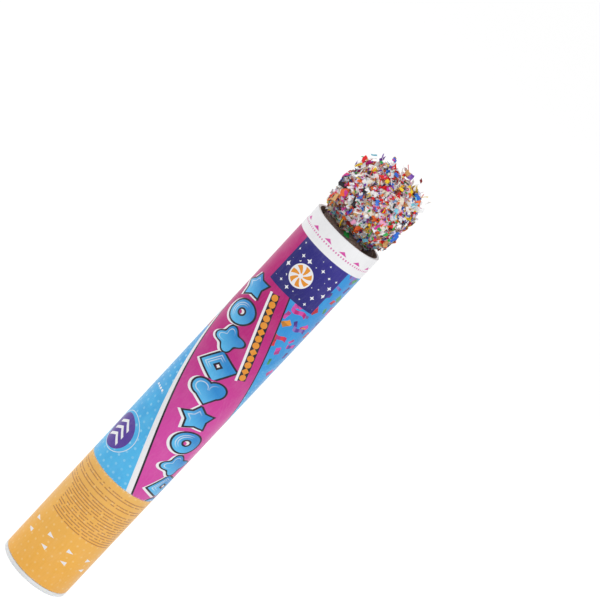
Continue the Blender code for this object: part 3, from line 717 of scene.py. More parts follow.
@dataclass(frozen=True)
class BarrelPrint:
    """The barrel's picture: a ribbon of party figures on a dotted sky."""

    inks: Inks = Inks()
    top_mm: float = 300.0
    bottom_mm: float = 88.1
    band_mm: float = 284.4
    ribbon_left_mm: float = -30.8
    ribbon_left_up_mm: float = 201.7
    ribbon_slope: float = 0.382
    ribbon_width_mm: float = 47.6
    figure_pitch_mm: float = 18.4
    figure_line_mm: float = 21.4
    figure_start_mm: float = 25.0
    figure_count: int = 10
    figure_mm: float = 7.9
    bead_line_mm: float = 38.6
    bead_pitch_mm: float = 4.6
    bead_start_mm: float = 34.0
    bead_count: int = 13
    badge_across_mm: float = -23.5
    badge_up_mm: float = 112.0
    badge_mm: float = 12.6
    badge_ring_mm: float = 14.2
    panel_across_mm: float = 0.6
    panel_up_mm: float = 267.2
    panel_half_mm: tuple[float, float] = (18.6, 17.3)
    wheel_mm: float = 7.8
    wheel_sails: int = 7
    band_triangles: int = 13
    bits_from_mm: float = 192.0

    def material(self) -> bpy.types.Material:
        """Print every layer, from the ground up.

        Returns:
            The material.
        """
        sheet = PrintShader("barrel_print", self.inks)
        self._sky(sheet)
        self._paper_bits(sheet)
        self._streamers(sheet)
        self._ribbon(sheet)
        self._badge(sheet)
        self._panel(sheet)
        self._muzzle_band(sheet)
        return sheet.finish(0.27, self.top_mm, self.bottom_mm)

    def _ribbon_place(self, sheet: PrintShader) -> tuple[Sock, Sock]:
        """Place along the ribbon, downwards, and across it from its left edge.

        Args:
            sheet: the paper.

        Returns:
            The two distances.
        """
        norm = math.hypot(1.0, self.ribbon_slope)
        left = self.ribbon_left_mm + (self.ribbon_left_up_mm - sheet.up) * self.ribbon_slope
        from_left = (sheet.across - left) / norm
        down = (self.band_mm - sheet.up) * (1 / norm) + sheet.across * (self.ribbon_slope / norm)
        return down, from_left

    def _sky(self, sheet: PrintShader) -> None:
        """Blue ground that pales downwards, with faint dots on its lower part.

        Args:
            sheet: the paper.
        """
        inks = self.inks
        cloud = sheet.noise(sheet.vector(sheet.across / 9, sheet.up / 16), 1.0, 3.0, 0.6)
        depth = sheet.up.ramp(240.0, 110.0) + (cloud - 0.5) * 1.1
        sheet.ink(1.0, sheet.mix(depth.ramp(0.0, 1.0), inks.sky, inks.sky_pale))
        sheet.dots(0.85, inks.sky_dot, sheet.up.ramp(215.0, 175.0) * 0.85)

    def _paper_bits(self, sheet: PrintShader) -> None:
        """Falling paper bits above the dots, one to a cell, turned at random and folded over.

        Args:
            sheet: the paper.
        """
        inks = self.inks
        colours = (
            (0.0, inks.magenta),
            (0.26, inks.violet),
            (0.48, inks.green),
            (0.64, inks.red),
            (0.76, inks.violet_pale),
            (0.92, inks.orange),
        )
        darker = tuple((place, shaded(colour, 0.55)) for place, colour in colours)
        for pitch, skew in ((13.4, 0.21), (9.1, -0.16)):
            column, x = sheet.cells(sheet.across + sheet.up * skew, pitch)
            row, y = sheet.cells(sheet.up - sheet.across * skew, pitch)
            turn, shift, pick = sheet.chance(column, row)
            length, other, keep = sheet.chance(row + 31.0, column + pitch)
            x = x + (shift - 0.5) * pitch * 0.3
            y = y + (other - 0.5) * pitch * 0.3
            angle = turn * math.tau
            along = x * angle.cosine() + y * angle.sine()
            over = y * angle.cosine() - x * angle.sine() + (along * 0.8).sine() * 0.4
            half_long = length * (pitch * 0.16) + pitch * 0.17
            half_wide = shift * (pitch * 0.1) + pitch * 0.1
            bit = (abs(along) - half_long).most(abs(over) - half_wide)
            fold = (along + over * 0.6).inside(0.3)
            colour = sheet.mix(fold * 0.8, sheet.pick(pick, colours), sheet.pick(pick, darker))
            height = (row + column * skew + 0.5 + skew / 2) * (pitch / (1 + skew * skew))
            is_shown = (height > other * 22.0 + self.bits_from_mm) * (keep > 0.36)
            sheet.ink(bit.inside() * is_shown, colour)

    def _streamers(self, sheet: PrintShader) -> None:
        """Curled paper streamers, light where they turn up and dark where they turn under.

        Args:
            sheet: the paper.
        """
        inks = self.inks
        for across, up, reach, light, dark in (
            (12.0, 246.4, 5.6, inks.magenta, inks.magenta_deep),
            (21.6, 236.8, 5.2, inks.violet_pale, inks.violet),
            (14.6, 226.6, 4.4, inks.red, inks.magenta_deep),
            (27.4, 224.6, 4.0, inks.magenta, inks.violet),
            (-34.0, 236.0, 6.0, inks.magenta, inks.magenta_deep),
            (-44.0, 219.0, 5.0, inks.violet_pale, inks.violet),
            (58.0, 243.0, 6.0, inks.magenta, inks.magenta_deep),
            (66.0, 228.0, 5.0, inks.violet_pale, inks.violet),
        ):
            x = sheet.across - across
            y = sheet.up - up - (x * 0.6).sine() * 0.8
            band = (abs(x + y * 0.3) - reach).most(abs(y) - 1.45)
            turned = (x * 1.1 + y * 0.4).sine().ramp(-0.6, 0.6)
            sheet.ink(band.inside(), sheet.mix(turned, dark, light))

    def _ribbon(self, sheet: PrintShader) -> None:
        """Magenta ribbon with a white selvage, dark lines, big figures and a row of small beads.

        Args:
            sheet: the paper.
        """
        inks = self.inks
        down, left = self._ribbon_place(sheet)
        width = self.ribbon_width_mm
        selvage = sheet.up * -0.0125 + 4.9
        sheet.ink((0 - left - selvage).most(left).inside(), inks.white)
        body = (0 - left).most(left - width)
        tone = sheet.mix(down.ramp(50.0, 140.0), inks.magenta_deep, inks.magenta)
        sheet.ink(body.inside(), tone)
        for start, thick in ((0.0, 1.3), (width - 0.9, 0.9)):
            line = abs(left - start - thick / 2) - thick / 2
            sheet.ink(line.inside(), inks.outline)
        number, along = sheet.cells(down - self.figure_start_mm, self.figure_pitch_mm)
        across = left - self.figure_line_mm
        shadow = self._figures(sheet, across + 1.7, along - 0.5, number)
        figure = self._figures(sheet, across, along, number)
        shown = (number > -0.5) * (number < self.figure_count - 0.5) * body.inside()
        sheet.ink((shadow - 1.2).inside() * shown, inks.white)
        sheet.ink((figure - 1.15).inside() * shown, inks.outline)
        shine = (across - along).ramp(-9.0, 7.0)
        fill = sheet.mix(shine, inks.blue_light, inks.blue_fill)
        glint = (figure + 1.5).inside() * (1 - (figure + 2.1).inside()) * (across + along).ramp(0.0, -7.0)
        fill = sheet.mix(glint * 0.6, fill, inks.white)
        sheet.ink(figure.inside() * shown, fill)
        self._beads(sheet, down, left)

    def _figures(self, sheet: PrintShader, x: Sock, y: Sock, number: Sock) -> Sock:
        """Distance to the figure of a repeat: each kind comes round in turn, a little wide.

        Args:
            sheet: the paper.
            x, y: the place from the figure's middle.
            number: its number along the ribbon.

        Returns:
            The distance, negative inside.
        """
        radius = self.figure_mm
        x = x * 0.8
        shapes = {
            Figure.STAR: sheet.star(x, 0 - y, radius * 1.06, radius * 0.66, 5),
            Figure.RING: abs(sheet.length(x, y) - radius * 0.66) - radius * 0.31,
            Figure.CLOVER: sheet.clover(x, y, radius * 0.84, radius * 0.2),
            Figure.LOZENGE: abs((abs(x) + abs(y) - radius * 0.8) * 0.7071) - radius * 0.31,
            Figure.HEART: sheet.heart(x, y, radius),
        }
        kind = number.modulo(5.0)
        total: Value = 0.0
        for figure, distance in shapes.items():
            total = distance * (abs(kind - figure.value) < 0.5) + total
        return total

    def _beads(self, sheet: PrintShader, down: Sock, left: Sock) -> None:
        """Orange beads in a dark row beside the figures, every third a diamond, over a white rule.

        Args:
            sheet: the paper.
            down, left: the place along the ribbon and across it.
        """
        inks = self.inks
        number, along = sheet.cells(down - self.bead_start_mm, self.bead_pitch_mm)
        half_row = self.bead_pitch_mm * self.bead_count / 2
        span = abs(down - self.bead_start_mm - half_row) - half_row
        across = abs(left - self.bead_line_mm)
        rule = (abs(left - self.bead_line_mm + 3.5) - 0.85).most(span - 0.6)
        sheet.ink(rule.inside(), inks.white)
        sheet.ink((across - 2.7).most(span).inside(), inks.outline)
        bead = sheet.length(left - self.bead_line_mm, along) - 2.15
        diamond = (across + abs(along) - 2.5) * 0.7071
        is_third = number.modulo(3.0) > 1.5
        shape = bead + (diamond - bead) * is_third
        sheet.ink(shape.most(span).inside(), inks.orange)

    def _badge(self, sheet: PrintShader) -> None:
        """Round violet badge with a thin ring and three white chevrons that point up the barrel.

        Args:
            sheet: the paper.
        """
        inks = self.inks
        x = sheet.across - self.badge_across_mm
        y = sheet.up - self.badge_up_mm
        sheet.ink((sheet.length(x, y) - self.badge_mm).inside(), inks.violet)
        ring = abs(sheet.length(x - 1.6, y - 0.8) - self.badge_ring_mm) - 0.22
        sheet.ink(ring.inside() * 0.85, inks.white)
        for lift in (-5.4, 0.0, 5.4):
            chevron = abs(y - lift + abs(x) * 0.62 - 2.2) - 1.15
            sheet.ink(chevron.most(abs(x) - 6.6).inside(), inks.white)
        _, mark = sheet.cells(sheet.across + 26.0, 2.6)
        few = abs(sheet.across + 23.4) - 5.2
        sheet.ink((sheet.length(mark, sheet.up - 150.0) - 0.85).most(few).inside(), inks.white)

    def _panel(self, sheet: PrintShader) -> None:
        """Navy panel under the muzzle band: a pinwheel low on the left in a sky of small stars.

        Args:
            sheet: the paper.
        """
        inks = self.inks
        x = sheet.across - self.panel_across_mm
        y = sheet.up - self.panel_up_mm
        panel = sheet.box(x, y, *self.panel_half_mm)
        tone = (sheet.across + sheet.up).ramp(256.0, 296.0)
        ground = sheet.mix(tone, inks.navy, inks.navy_pale)
        sheet.ink(panel.inside(), ground)
        pitch = 5.4
        column, cell_x = sheet.cells(x + 18.9, pitch)
        row, cell_y = sheet.cells(y + 16.2, pitch)
        shift, lift, size = sheet.chance(column + 4.0, row + 9.0)
        spark_x = cell_x + (shift - 0.5) * 2.0
        spark_y = cell_y + (lift - 0.5) * 2.0
        spark = sheet.star(spark_x, spark_y, 1.7, 0.7, 4) + (0.8 - size) * 1.1
        margin = panel + 1.8
        sheet.ink(spark.most(margin).inside(), inks.white)
        wheel_x, wheel_y = x + 3.6, y + 2.6
        angle = sheet.math("ARCTAN2", wheel_x, wheel_y)
        radius = sheet.length(wheel_x, wheel_y)
        sail = (angle * (self.wheel_sails / math.tau) + radius * 0.06).fraction()
        sheet.ink((radius - (self.wheel_mm + 1.2)).inside(), ground)
        sheet.ink((radius - self.wheel_mm).inside(), inks.white)
        sails = sheet.mix(abs(sail - 0.5) < 0.28, inks.white, inks.orange)
        sheet.ink((radius - (self.wheel_mm - 0.9)).inside(), sails)
        sheet.ink((radius - 1.6).inside(), inks.white)

    def _muzzle_band(self, sheet: PrintShader) -> None:
        """White band at the muzzle with a row of triangles over a row of small dots.

        Args:
            sheet: the paper.
        """
        inks = self.inks
        sheet.ink((self.band_mm - sheet.up).inside(), inks.white)
        pitch = ROUND_MM / self.band_triangles
        _, x = sheet.cells(sheet.across - 0.7, pitch)
        tip = sheet.triangle(x, sheet.up - 291.7, 3.0, 2.2)
        sheet.ink(tip.inside(), inks.magenta)
        number, mark = sheet.cells(sheet.across, pitch / 6)
        size, _, _ = sheet.chance(number, 3.0)
        dot = sheet.length(mark * 1.25, sheet.up - 290.0) - 0.56 - size * 0.18
        sheet.ink(dot.inside(0.25) * 0.85, inks.pink)


@dataclass(frozen=True)
class GripPrint:
    """The grip's orange picture: faint dots, fine brown rows and two rows of arrowheads."""

    inks: Inks = Inks()
    top_mm: float = 87.5
    bottom_mm: float = 3.4
    arrow_rows: tuple[tuple[float, float], ...] = ((33.0, 1.0), (24.7, -1.0))
    arrow_pitch_mm: float = 16.36
    rows_from_mm: float = 45.0
    row_pitch_mm: float = 1.93
    row_count: int = 20
    dash_mm: float = 1.5

    def material(self) -> bpy.types.Material:
        """Print every layer.

        Returns:
            The material.
        """
        inks = self.inks
        sheet = PrintShader("grip_print", inks)
        sheet.ink(1.0, sheet.mix(sheet.up.ramp(84.0, 20.0), inks.grip_deep, inks.grip))
        sheet.dots(0.7, inks.grip_dot, 0.62)
        self._fine_rows(sheet)
        for height, side in self.arrow_rows:
            _, cell = sheet.cells((sheet.across + 6.2) * side + 8.6, self.arrow_pitch_mm)
            arrow = sheet.triangle(sheet.up - height, cell + 2.3, 1.4, 4.7)
            sheet.ink(arrow.inside(), inks.white)
        return sheet.finish(0.3, self.top_mm, self.bottom_mm)

    def _fine_rows(self, sheet: PrintShader) -> None:
        """Rows of fine brown dashes, like stitching, with ragged ends, breaks and pairs at the top.

        Args:
            sheet: the paper.
        """
        row, y = sheet.cells(sheet.up - self.rows_from_mm, self.row_pitch_mm)
        shift, start, stretch = sheet.chance(row, 17.0)
        number, x = sheet.cells(sheet.across * (0.86 + stretch * 0.28) + shift * 60.0, self.dash_mm)
        reach, lift, word = sheet.chance(number, row)
        gap = word < 0.12
        mark = (abs(x) - 0.5 - reach * 0.32).most(abs(y - (lift - 0.5) * 0.2) - 0.34) + gap * 2.0
        thread = (abs(y) - 0.34).inside(0.4) * (0.2 - gap * 0.14)
        left = sheet.across + 20.0 + start * 3.0 + (row > 10.5) * 12.0
        sides = (0 - left).most(sheet.across - 33.0)
        is_between = (row > 13.5) * (row.modulo(3.0) > 1.5)
        is_kept = (row > -0.5) * (row < self.row_count - 0.5) * (1 - is_between)
        sheet.ink((mark.inside(0.4) * 0.46 + thread) * sides.inside() * is_kept, self.inks.brown)


class Shade(Enum):
    """Groups of confetti colours, in the order of their numbers."""

    PALE = 0
    BRIGHT = 1
    DARK = 2


@dataclass(frozen=True)
class Palette:
    """The confetti's mixed colours, each with how common it is, one row for each shade."""

    pale: tuple[tuple[int, Colour], ...] = (
        (24, rgb(254, 254, 255)),
        (11, rgb(238, 240, 246)),
        (5, rgb(250, 242, 222)),
        (3, rgb(222, 212, 240)),
    )
    bright: tuple[tuple[int, Colour], ...] = (
        (13, rgb(232, 18, 26)),
        (4, rgb(156, 18, 28)),
        (5, rgb(112, 44, 170)),
        (4, rgb(214, 40, 156)),
        (5, rgb(246, 168, 206)),
        (9, rgb(250, 208, 10)),
        (6, rgb(222, 170, 104)),
        (8, rgb(242, 104, 18)),
        (4, rgb(30, 172, 70)),
        (4, rgb(34, 110, 218)),
        (3, rgb(126, 214, 238)),
    )
    dark: tuple[tuple[int, Colour], ...] = (
        (2, rgb(36, 44, 96)),
        (4, rgb(30, 30, 36)),
        (3, rgb(112, 60, 36)),
    )

    def stops(self) -> Stops:
        """Stops of a ramp over all the colours, as wide as each is common.

        Returns:
            Each stop's place and colour.
        """
        mixed = self.pale + self.bright + self.dark
        whole = sum(share for share, _ in mixed)
        starts = [sum(share for share, _ in mixed[:i]) / whole for i in range(len(mixed))]
        return [(start, colour) for start, (_, colour) in zip(starts, mixed)]

    def span(self, first: Shade, last: Shade) -> tuple[float, float]:
        """The stretch of the ramp from one shade to another, both included.

        Args:
            first, last: the shades.

        Returns:
            Where the stretch begins and ends, from 0 to 1.
        """
        sums = [sum(share for share, _ in shades) for shades in (self.pale, self.bright, self.dark)]
        return sum(sums[: first.value]) / sum(sums), sum(sums[: last.value + 1]) / sum(sums)


@dataclass(frozen=True)
class ConfettiPaper(Finish):
    """Confetti of many colours, from the numbers that each flake carries."""

    palette: Palette = Palette()
    foil_share: float = 0.35
    crease_and_shade: Colour = rgb(60, 50, 60)

    def paint(self, shader: Shader, where: Sock) -> None:
        """Colour each flake by its tint with a little painted shade in its creases, and make a share of them
        shine like foil.

        Args:
            shader: the material's graph.
            where: the place on the object.
        """
        foil = shader.attribute(SHEEN) < self.foil_share
        crease_and_shade = shader.noise(where, 700.0, 3.0, 0.6)
        colour = shader.pick(shader.attribute(TINT), self.palette.stops())
        # A little painted shade in the creases, where the crease noise is low.
        colour = shader.mix(crease_and_shade.ramp(0.6, 0.3) * 0.1, colour, self.crease_and_shade)
        shader.set(base_color=colour, metallic=foil * 0.1, roughness=0.6 - foil * 0.34)
        shader.bump(crease_and_shade, 0.22 * MM)


@dataclass(frozen=True)
class PackedConfetti(Finish):
    """The pressed mass under the loose flakes, with painted shade between the flakes and in the hollow where
    it lies deep inside the muzzle.
    """

    rim: float
    level: float
    palette: Palette = Palette()
    cell_mm: float = 1.9
    gap_shade: Colour = rgb(84, 74, 80)
    hollow_shade: Colour = rgb(150, 130, 119)

    def paint(self, shader: Shader, where: Sock) -> None:
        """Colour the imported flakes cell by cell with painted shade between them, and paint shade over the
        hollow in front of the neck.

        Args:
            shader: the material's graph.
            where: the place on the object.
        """
        warp = shader.noise(where, 500.0, 3.0)
        x, y, z = shader.split(where)
        bent = shader.vector(x + warp * 0.002, y - warp * 0.002, z * 1.6 + warp * 0.003)
        cells = shader.cells_of(bent, self.cell_mm)
        pick, shade, _ = shader.split(shader.out(cells, "Color"))
        edge = shader.out(cells, "Distance").ramp(0.75, 0.25)
        colour = shader.pick(pick, self.palette.stops())
        # Painted shade in the gaps between the flakes, with a random darkening of each cell.
        colour = shader.mix((1 - edge) * 0.3 + shade * 0.1, colour, self.gap_shade)
        # Painted shade over the hollow below the rim in front of the neck.
        below_rim = z.ramp(self.rim + 0.0012, self.rim)
        above_floor = z.ramp(self.level - 0.0012, self.level - 0.0006)
        hollow = below_rim * above_floor * y.ramp(0.012, 0.007)
        shader.set(base_color=shader.mix(hollow * 0.92, colour, self.hollow_shade), roughness=0.62)
        shader.bump(edge + warp * 0.5, 0.6 * MM)


def linked(name: str, data: bpy.types.ID) -> bpy.types.Object:
    """Make an object of some data and link it to the scene."""
    item = bpy.data.objects.new(name, data)
    bpy.context.scene.collection.objects.link(item)
    return item


def applied(item: bpy.types.Object) -> bpy.types.Mesh:
    """A plain mesh of an object as its modifiers leave it."""
    return bpy.data.meshes.new_from_object(item.evaluated_get(bpy.context.evaluated_depsgraph_get()))


def smooth(mesh: bpy.types.Mesh, sharp_deg: float) -> None:
    """Shade a mesh smooth, but for edges that turn further than the angle."""
    mesh.shade_smooth()
    mesh.set_sharp_from_angle(angle=math.radians(sharp_deg))


@contextmanager
def edited(mesh: bpy.types.Mesh) -> Iterator[bmesh.types.BMesh]:
    """Open a mesh for editing, and write it back at the end.

    Args:
        mesh: the mesh.

    Yields:
        Its editable form.
    """
    shape = bmesh.new()
    shape.from_mesh(mesh)
    yield shape
    shape.to_mesh(mesh)
    shape.free()


def mesh_object(
    name: str,
    points: Sequence[Sequence[float]],
    faces: Sequence[Sequence[int]],
    corners: Sequence[Outline] = (),
    sharp_deg: float = 40.0,
) -> bpy.types.Object:
    """Make a smooth-shaded mesh object at the origin.

    Args:
        name: the piece's name.
        points: vertex places.
        faces: vertex numbers of each face, counter-clockwise seen from outside.
        corners: the print map's place for each corner of each face.
        sharp_deg: edges that turn further than this stay sharp.

    Returns:
        The new object.
    """
    mesh = bpy.data.meshes.new(name)
    mesh.from_pydata(points, [], faces)
    if corners:
        layer = mesh.uv_layers.new(name=PRINT_MAP)
        layer.data.foreach_set("uv", [value for face in corners for place in face for value in place])
    mesh.validate()
    smooth(mesh, sharp_deg)
    return linked(name, mesh)


@dataclass
class Lathe:
    """Turns a closed outline about the Z axis, with an optional change of radius by place.

    The outline is a list of radius and height, counter-clockwise, with the axis on its left. It
    starts and ends on the axis, or closes on itself.
    """

    name: str
    outline: Outline
    steps: int = 192
    swell: Callable[[float, float, float], float] | None = None
    has_print: bool = False

    def build(self) -> bpy.types.Object:
        """Build the turned piece.

        Returns:
            The new object.
        """
        rows = len(self.outline)
        is_on_axis = self.outline[0][0] == 0.0
        angles = [math.tau * i / self.steps for i in range(self.steps)]
        points = [self._point(angle, r, z) for angle in angles for r, z in self.outline]
        spans = [(k, k + 1) for k in range(rows - 1)] + ([] if is_on_axis else [(rows - 1, 0)])
        faces, corners = [], []
        for i in range(self.steps):
            here, there = i * rows, (i + 1) % self.steps * rows
            for low, high in spans:
                faces.append((here + low, there + low, there + high, here + high))
                if self.has_print:
                    corners.append(self._print_corners(i, self.outline[low][1], self.outline[high][1]))
        item = mesh_object(self.name, points, faces, corners)
        if is_on_axis:
            self._close_poles(item)
        return item

    def _point(self, angle: float, radius: float, height: float) -> tuple[float, float, float]:
        """A point of the turned surface."""
        reach = radius + (self.swell(angle, radius, height) if self.swell else 0.0)
        return reach * math.cos(angle), reach * math.sin(angle), height

    def _print_corners(self, step: int, low: float, high: float) -> Outline:
        """Where a face's corners lie on the print, in millimetres; the seam is at the back.

        Args:
            step: the face's number round the axis.
            low, high: the heights of its two edges.

        Returns:
            The places of its four corners.
        """
        outer_mm = max(r for r, _ in self.outline) / MM
        from_back = math.tau * (step / self.steps + 0.75)
        begin = (from_back % math.tau - math.pi) * outer_mm
        end = begin + math.tau / self.steps * outer_mm
        return [(begin, low / MM), (end, low / MM), (end, high / MM), (begin, high / MM)]

    def _close_poles(self, item: bpy.types.Object) -> None:
        """Merge the points that meet on the axis.

        Args:
            item: the turned piece.
        """
        with edited(item.data) as shape:
            bmesh.ops.remove_doubles(shape, verts=shape.verts, dist=1e-7)
            bmesh.ops.recalc_face_normals(shape, faces=shape.faces)
        smooth(item.data, 40.0)


def fillet(corner: tuple[float, float], radius: float, start_deg: float, steps: int = 5) -> Outline:
    """A quarter round in an outline.

    Args:
        corner: the arc's centre, as radius and height.
        radius: the arc's radius.
        start_deg: where it starts, turning counter-clockwise.
        steps: how many pieces it has.

    Returns:
        The arc's points.
    """
    angles = [math.radians(start_deg + 90.0 * i / steps) for i in range(steps + 1)]
    return [(corner[0] + radius * math.cos(a), corner[1] + radius * math.sin(a)) for a in angles]


def rise(bottom: float, top: float, radius: float, rows: int) -> Outline:
    """Points up a straight wall, both ends left out."""
    return [(radius, bottom + (top - bottom) * i / rows) for i in range(1, rows)]


def settle(
    item: bpy.types.Object,
    body: Body,
    slot: str,
    replaced: Sequence[str] = (),
    material: bpy.types.Material | None = None,
) -> bpy.types.Object:
    """Dress a finished piece and hand it to its body.

    Args:
        item: the piece.
        body: what it rides on.
        slot: the name of the material slot meant for its finish; not used.
        replaced: the CAD nodes that it stands for.
        material: its finish, where it has none yet.

    Returns:
        The piece.
    """
    if material:
        item.data.materials.append(material)
    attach(item, body.value)
    if replaced:
        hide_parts(*replaced)
    LOG.info("%s rides on %s and stands for %s", item.name, body.value, list(replaced))
    return item


@dataclass
class PaperWrap:
    """A printed paper glued round a tube, its edges overlapping at the back."""

    node: str
    body: Body
    slot: str
    is_muzzle: bool
    thickness: float = 0.3 * MM
    overlap: float = 8.5 * MM
    step_up: float = 0.22 * MM
    ramp_width: float = 2.2 * MM
    wave: float = 0.03 * MM
    outer_skin: float = 0.2 * MM
    seam_reach: float = 0.1 * MM
    cut_round: float = 0.06 * MM
    lip_round: float = 0.24 * MM
    steps: int = 320
    rows: int = 44

    def __post_init__(self) -> None:
        """Take the sizes from the CAD node."""
        low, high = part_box(self.node)
        self.bottom = low.z - (self.seam_reach if self.is_muzzle else 0.0)
        self.top = high.z + (0.0 if self.is_muzzle else self.seam_reach)
        self.outer = high.x
        self.inner = self.outer - self.thickness

    def swell(self, angle: float, radius: float, height: float) -> float:
        """How far the paper stands out: its overlap, and the slight waves of a hand-rolled tube.

        Args:
            angle, radius, height: the place on the paper.

        Returns:
            The change of radius.
        """
        if radius < self.outer - self.outer_skin:
            return 0.0
        place = ((angle + math.pi / 2) % math.tau - math.pi) * self.outer
        lift = 0.0
        if 0.0 < place < self.overlap:
            lift = self.step_up
        elif self.overlap <= place < self.overlap + self.ramp_width:
            lift = self.step_up * (1 - (place - self.overlap) / self.ramp_width)
        wave = math.sin(3 * angle + height * 31) * math.sin(height * 57 + 0.7)
        return lift + (wave - 1) * self.wave

    def build(self, bore: float, material: bpy.types.Material) -> bpy.types.Object:
        """Build the wrap.

        Args:
            bore: radius of the tube's bore, to which the lip is turned in.
            material: the printed paper.

        Returns:
            The piece.
        """
        foot = self.cut_round
        soft = self.lip_round if self.is_muzzle else foot
        outline = fillet((self.outer - foot, self.bottom + foot), foot, -90, 3)
        outline += rise(self.bottom, self.top - soft, self.outer, self.rows)
        outline += fillet((self.outer - soft, self.top - soft), soft, 0)
        if self.is_muzzle:
            under = self.top - self.thickness
            outline += [((self.outer + bore) / 2, self.top), (bore + soft / 2, self.top)]
            outline += [(bore, self.top - soft / 2), (bore, under), (self.inner, under)]
        else:
            outline += [(self.inner, self.top)]
        outline += [(self.inner, self.bottom)]
        item = Lathe(self.node + "_paper", outline, self.steps, self.swell, has_print=True).build()
        return settle(item, self.body, self.slot, [self.node], material)


@dataclass
class Tube:
    """A cardboard tube under a paper wrap."""

    node: str
    body: Body
    wall: float = 1.2 * MM
    soft: float = 0.25 * MM
    ply: float = 34.0 * MM
    ply_step: float = 0.12 * MM
    bore_rows: int = 90
    steps: int = 256

    def __post_init__(self) -> None:
        """Take the sizes from the CAD node."""
        low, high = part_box(self.node)
        self.bottom, self.top = low.z, high.z
        self.outer = high.x
        self.bore = self.outer - self.wall

    def build(self, material: bpy.types.Material) -> bpy.types.Object:
        """Build the tube with slightly rounded cut ends and the faint ridge of its plies.

        Args:
            material: the cardboard.

        Returns:
            The piece.
        """
        soft = self.soft
        outline = fillet((self.outer - soft, self.bottom + soft), soft, -90, 3)
        outline += rise(self.bottom, self.top, self.outer, 8)
        outline += fillet((self.outer - soft, self.top - soft), soft, 0, 3)
        outline += fillet((self.bore + soft, self.top - soft), soft, 90, 3)
        outline += rise(self.bottom, self.top, self.bore, self.bore_rows)[::-1]
        outline += fillet((self.bore + soft, self.bottom + soft), soft, 180, 3)
        item = Lathe(self.node + "_card", outline, self.steps, self.ridge).build()
        return settle(item, self.body, "cardboard", [self.node], material)

    def ridge(self, angle: float, radius: float, height: float) -> float:
        """The bore's shallow helical step where one ply ends and the next begins.

        Args:
            angle, radius, height: the place on the tube.

        Returns:
            The change of radius.
        """
        if radius > self.bore + 0.1 * MM:
            return 0.0
        along = (height / self.ply + angle / math.tau) % 1.0
        return self.ply_step * math.exp(-(((along - 0.5) / 0.03) ** 2))


@dataclass
class EndCap:
    """The white plastic cap that closes the grip and carries the popper's foot ring."""

    node: str = "end_cap"
    seat_gap: float = 0.3 * MM
    foot_width: float = 5.5 * MM
    foot_lead: float = 0.5 * MM
    panel: float = 1.5 * MM
    gate: float = 1.6 * MM
    gate_depth: float = 0.3 * MM
    groove_depth: float = 0.25 * MM
    skirt_wall: float = 1.6 * MM
    soft: float = 0.9 * MM
    flange_soft: float = 0.3 * MM
    root: float = 0.6 * MM

    def build(self, material: bpy.types.Material, tube: Tube) -> bpy.types.Object:
        """Build the cap.

        Args:
            material: the cap's plastic.
            tube: the grip's tube, into which the cap is pushed.

        Returns:
            The piece.
        """
        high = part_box(self.node)[1]
        outer, top, soft, panel = high.x, high.z, self.soft, self.panel
        flange = tube.bottom - self.seat_gap
        skirt = tube.bore - self.seat_gap
        foot = outer - self.foot_width
        inner = skirt - self.skirt_wall
        gate_floor = panel - self.gate_depth
        groove = panel - self.groove_depth
        outline = [(0.0, gate_floor), (self.gate, gate_floor), (self.gate + self.gate_depth, panel)]
        outline += [(foot * 0.45, panel), (foot * 0.47, groove), (foot * 0.5, groove), (foot * 0.52, panel)]
        outline += [(foot - soft, panel), (foot - soft * 0.3, panel - soft * 0.3), (foot, panel - soft)]
        outline += [(foot + 0.2 * MM, 0.2 * MM), (foot + self.foot_lead, 0.0)]
        outline += fillet((outer - soft, soft), soft, -90)
        edge = self.flange_soft
        outline += fillet((outer - edge, flange - edge), edge, 0, 3)
        outline += [(skirt + 0.1 * MM, flange), (skirt, flange + 0.2 * MM)]
        outline += [(skirt, top - soft), (skirt - soft, top), (inner, top)]
        outline += [(inner, flange + self.root), (inner - self.root, flange), (0.0, flange)]
        item = Lathe("end_cap_moulding", outline, 224).build()
        return settle(item, Body.GRIP, "cap_plastic", [self.node], material)


@dataclass
class TornSeal:
    """The ragged rim of the burst membrane, standing against the bore."""

    node: str = "burst_seal"
    wall: float = 0.6 * MM
    tear_depth: float = 2.6 * MM
    bend: float = 0.12 * MM
    columns: int = 360
    rows: int = 6

    def tear(self, angle: float) -> float:
        """How much of the free edge is torn off at an angle, from 0 to 1."""
        slow = 0.5 + 0.28 * math.sin(7 * angle + 0.6) + 0.22 * math.sin(16 * angle + 2.1)
        fine = 0.5 + 0.5 * math.sin(53 * angle + 3 * math.sin(9 * angle))
        return slow * 0.8 + fine * 0.12

    def build(self, material: bpy.types.Material) -> bpy.types.Object:
        """Build the seal as a thin closed strip.

        Args:
            material: the torn foil.

        Returns:
            The piece.
        """
        low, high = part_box(self.node)
        points, faces = [], []
        ring = self.rows * 2
        for i in range(self.columns):
            angle = math.tau * i / self.columns
            free = high.z - self.tear_depth * self.tear(angle)
            heights = [low.z + (free - low.z) * k / (self.rows - 1) for k in range(self.rows)]
            for side, radius in ((1, high.x), (-1, high.x - self.wall)):
                for z in heights[::side]:
                    bend = self.bend * math.sin(23 * angle) * (z - low.z) / (high.z - low.z)
                    reach = radius + min(0.0, bend)
                    points.append((reach * math.cos(angle), reach * math.sin(angle), z))
            here, there = i * ring, (i + 1) % self.columns * ring
            for k in range(ring):
                after = (k + 1) % ring
                faces.append((here + k, there + k, there + after, here + after))
        item = mesh_object("torn_seal", points, faces)
        return settle(item, Body.BARREL, "torn_foil", [self.node], material)


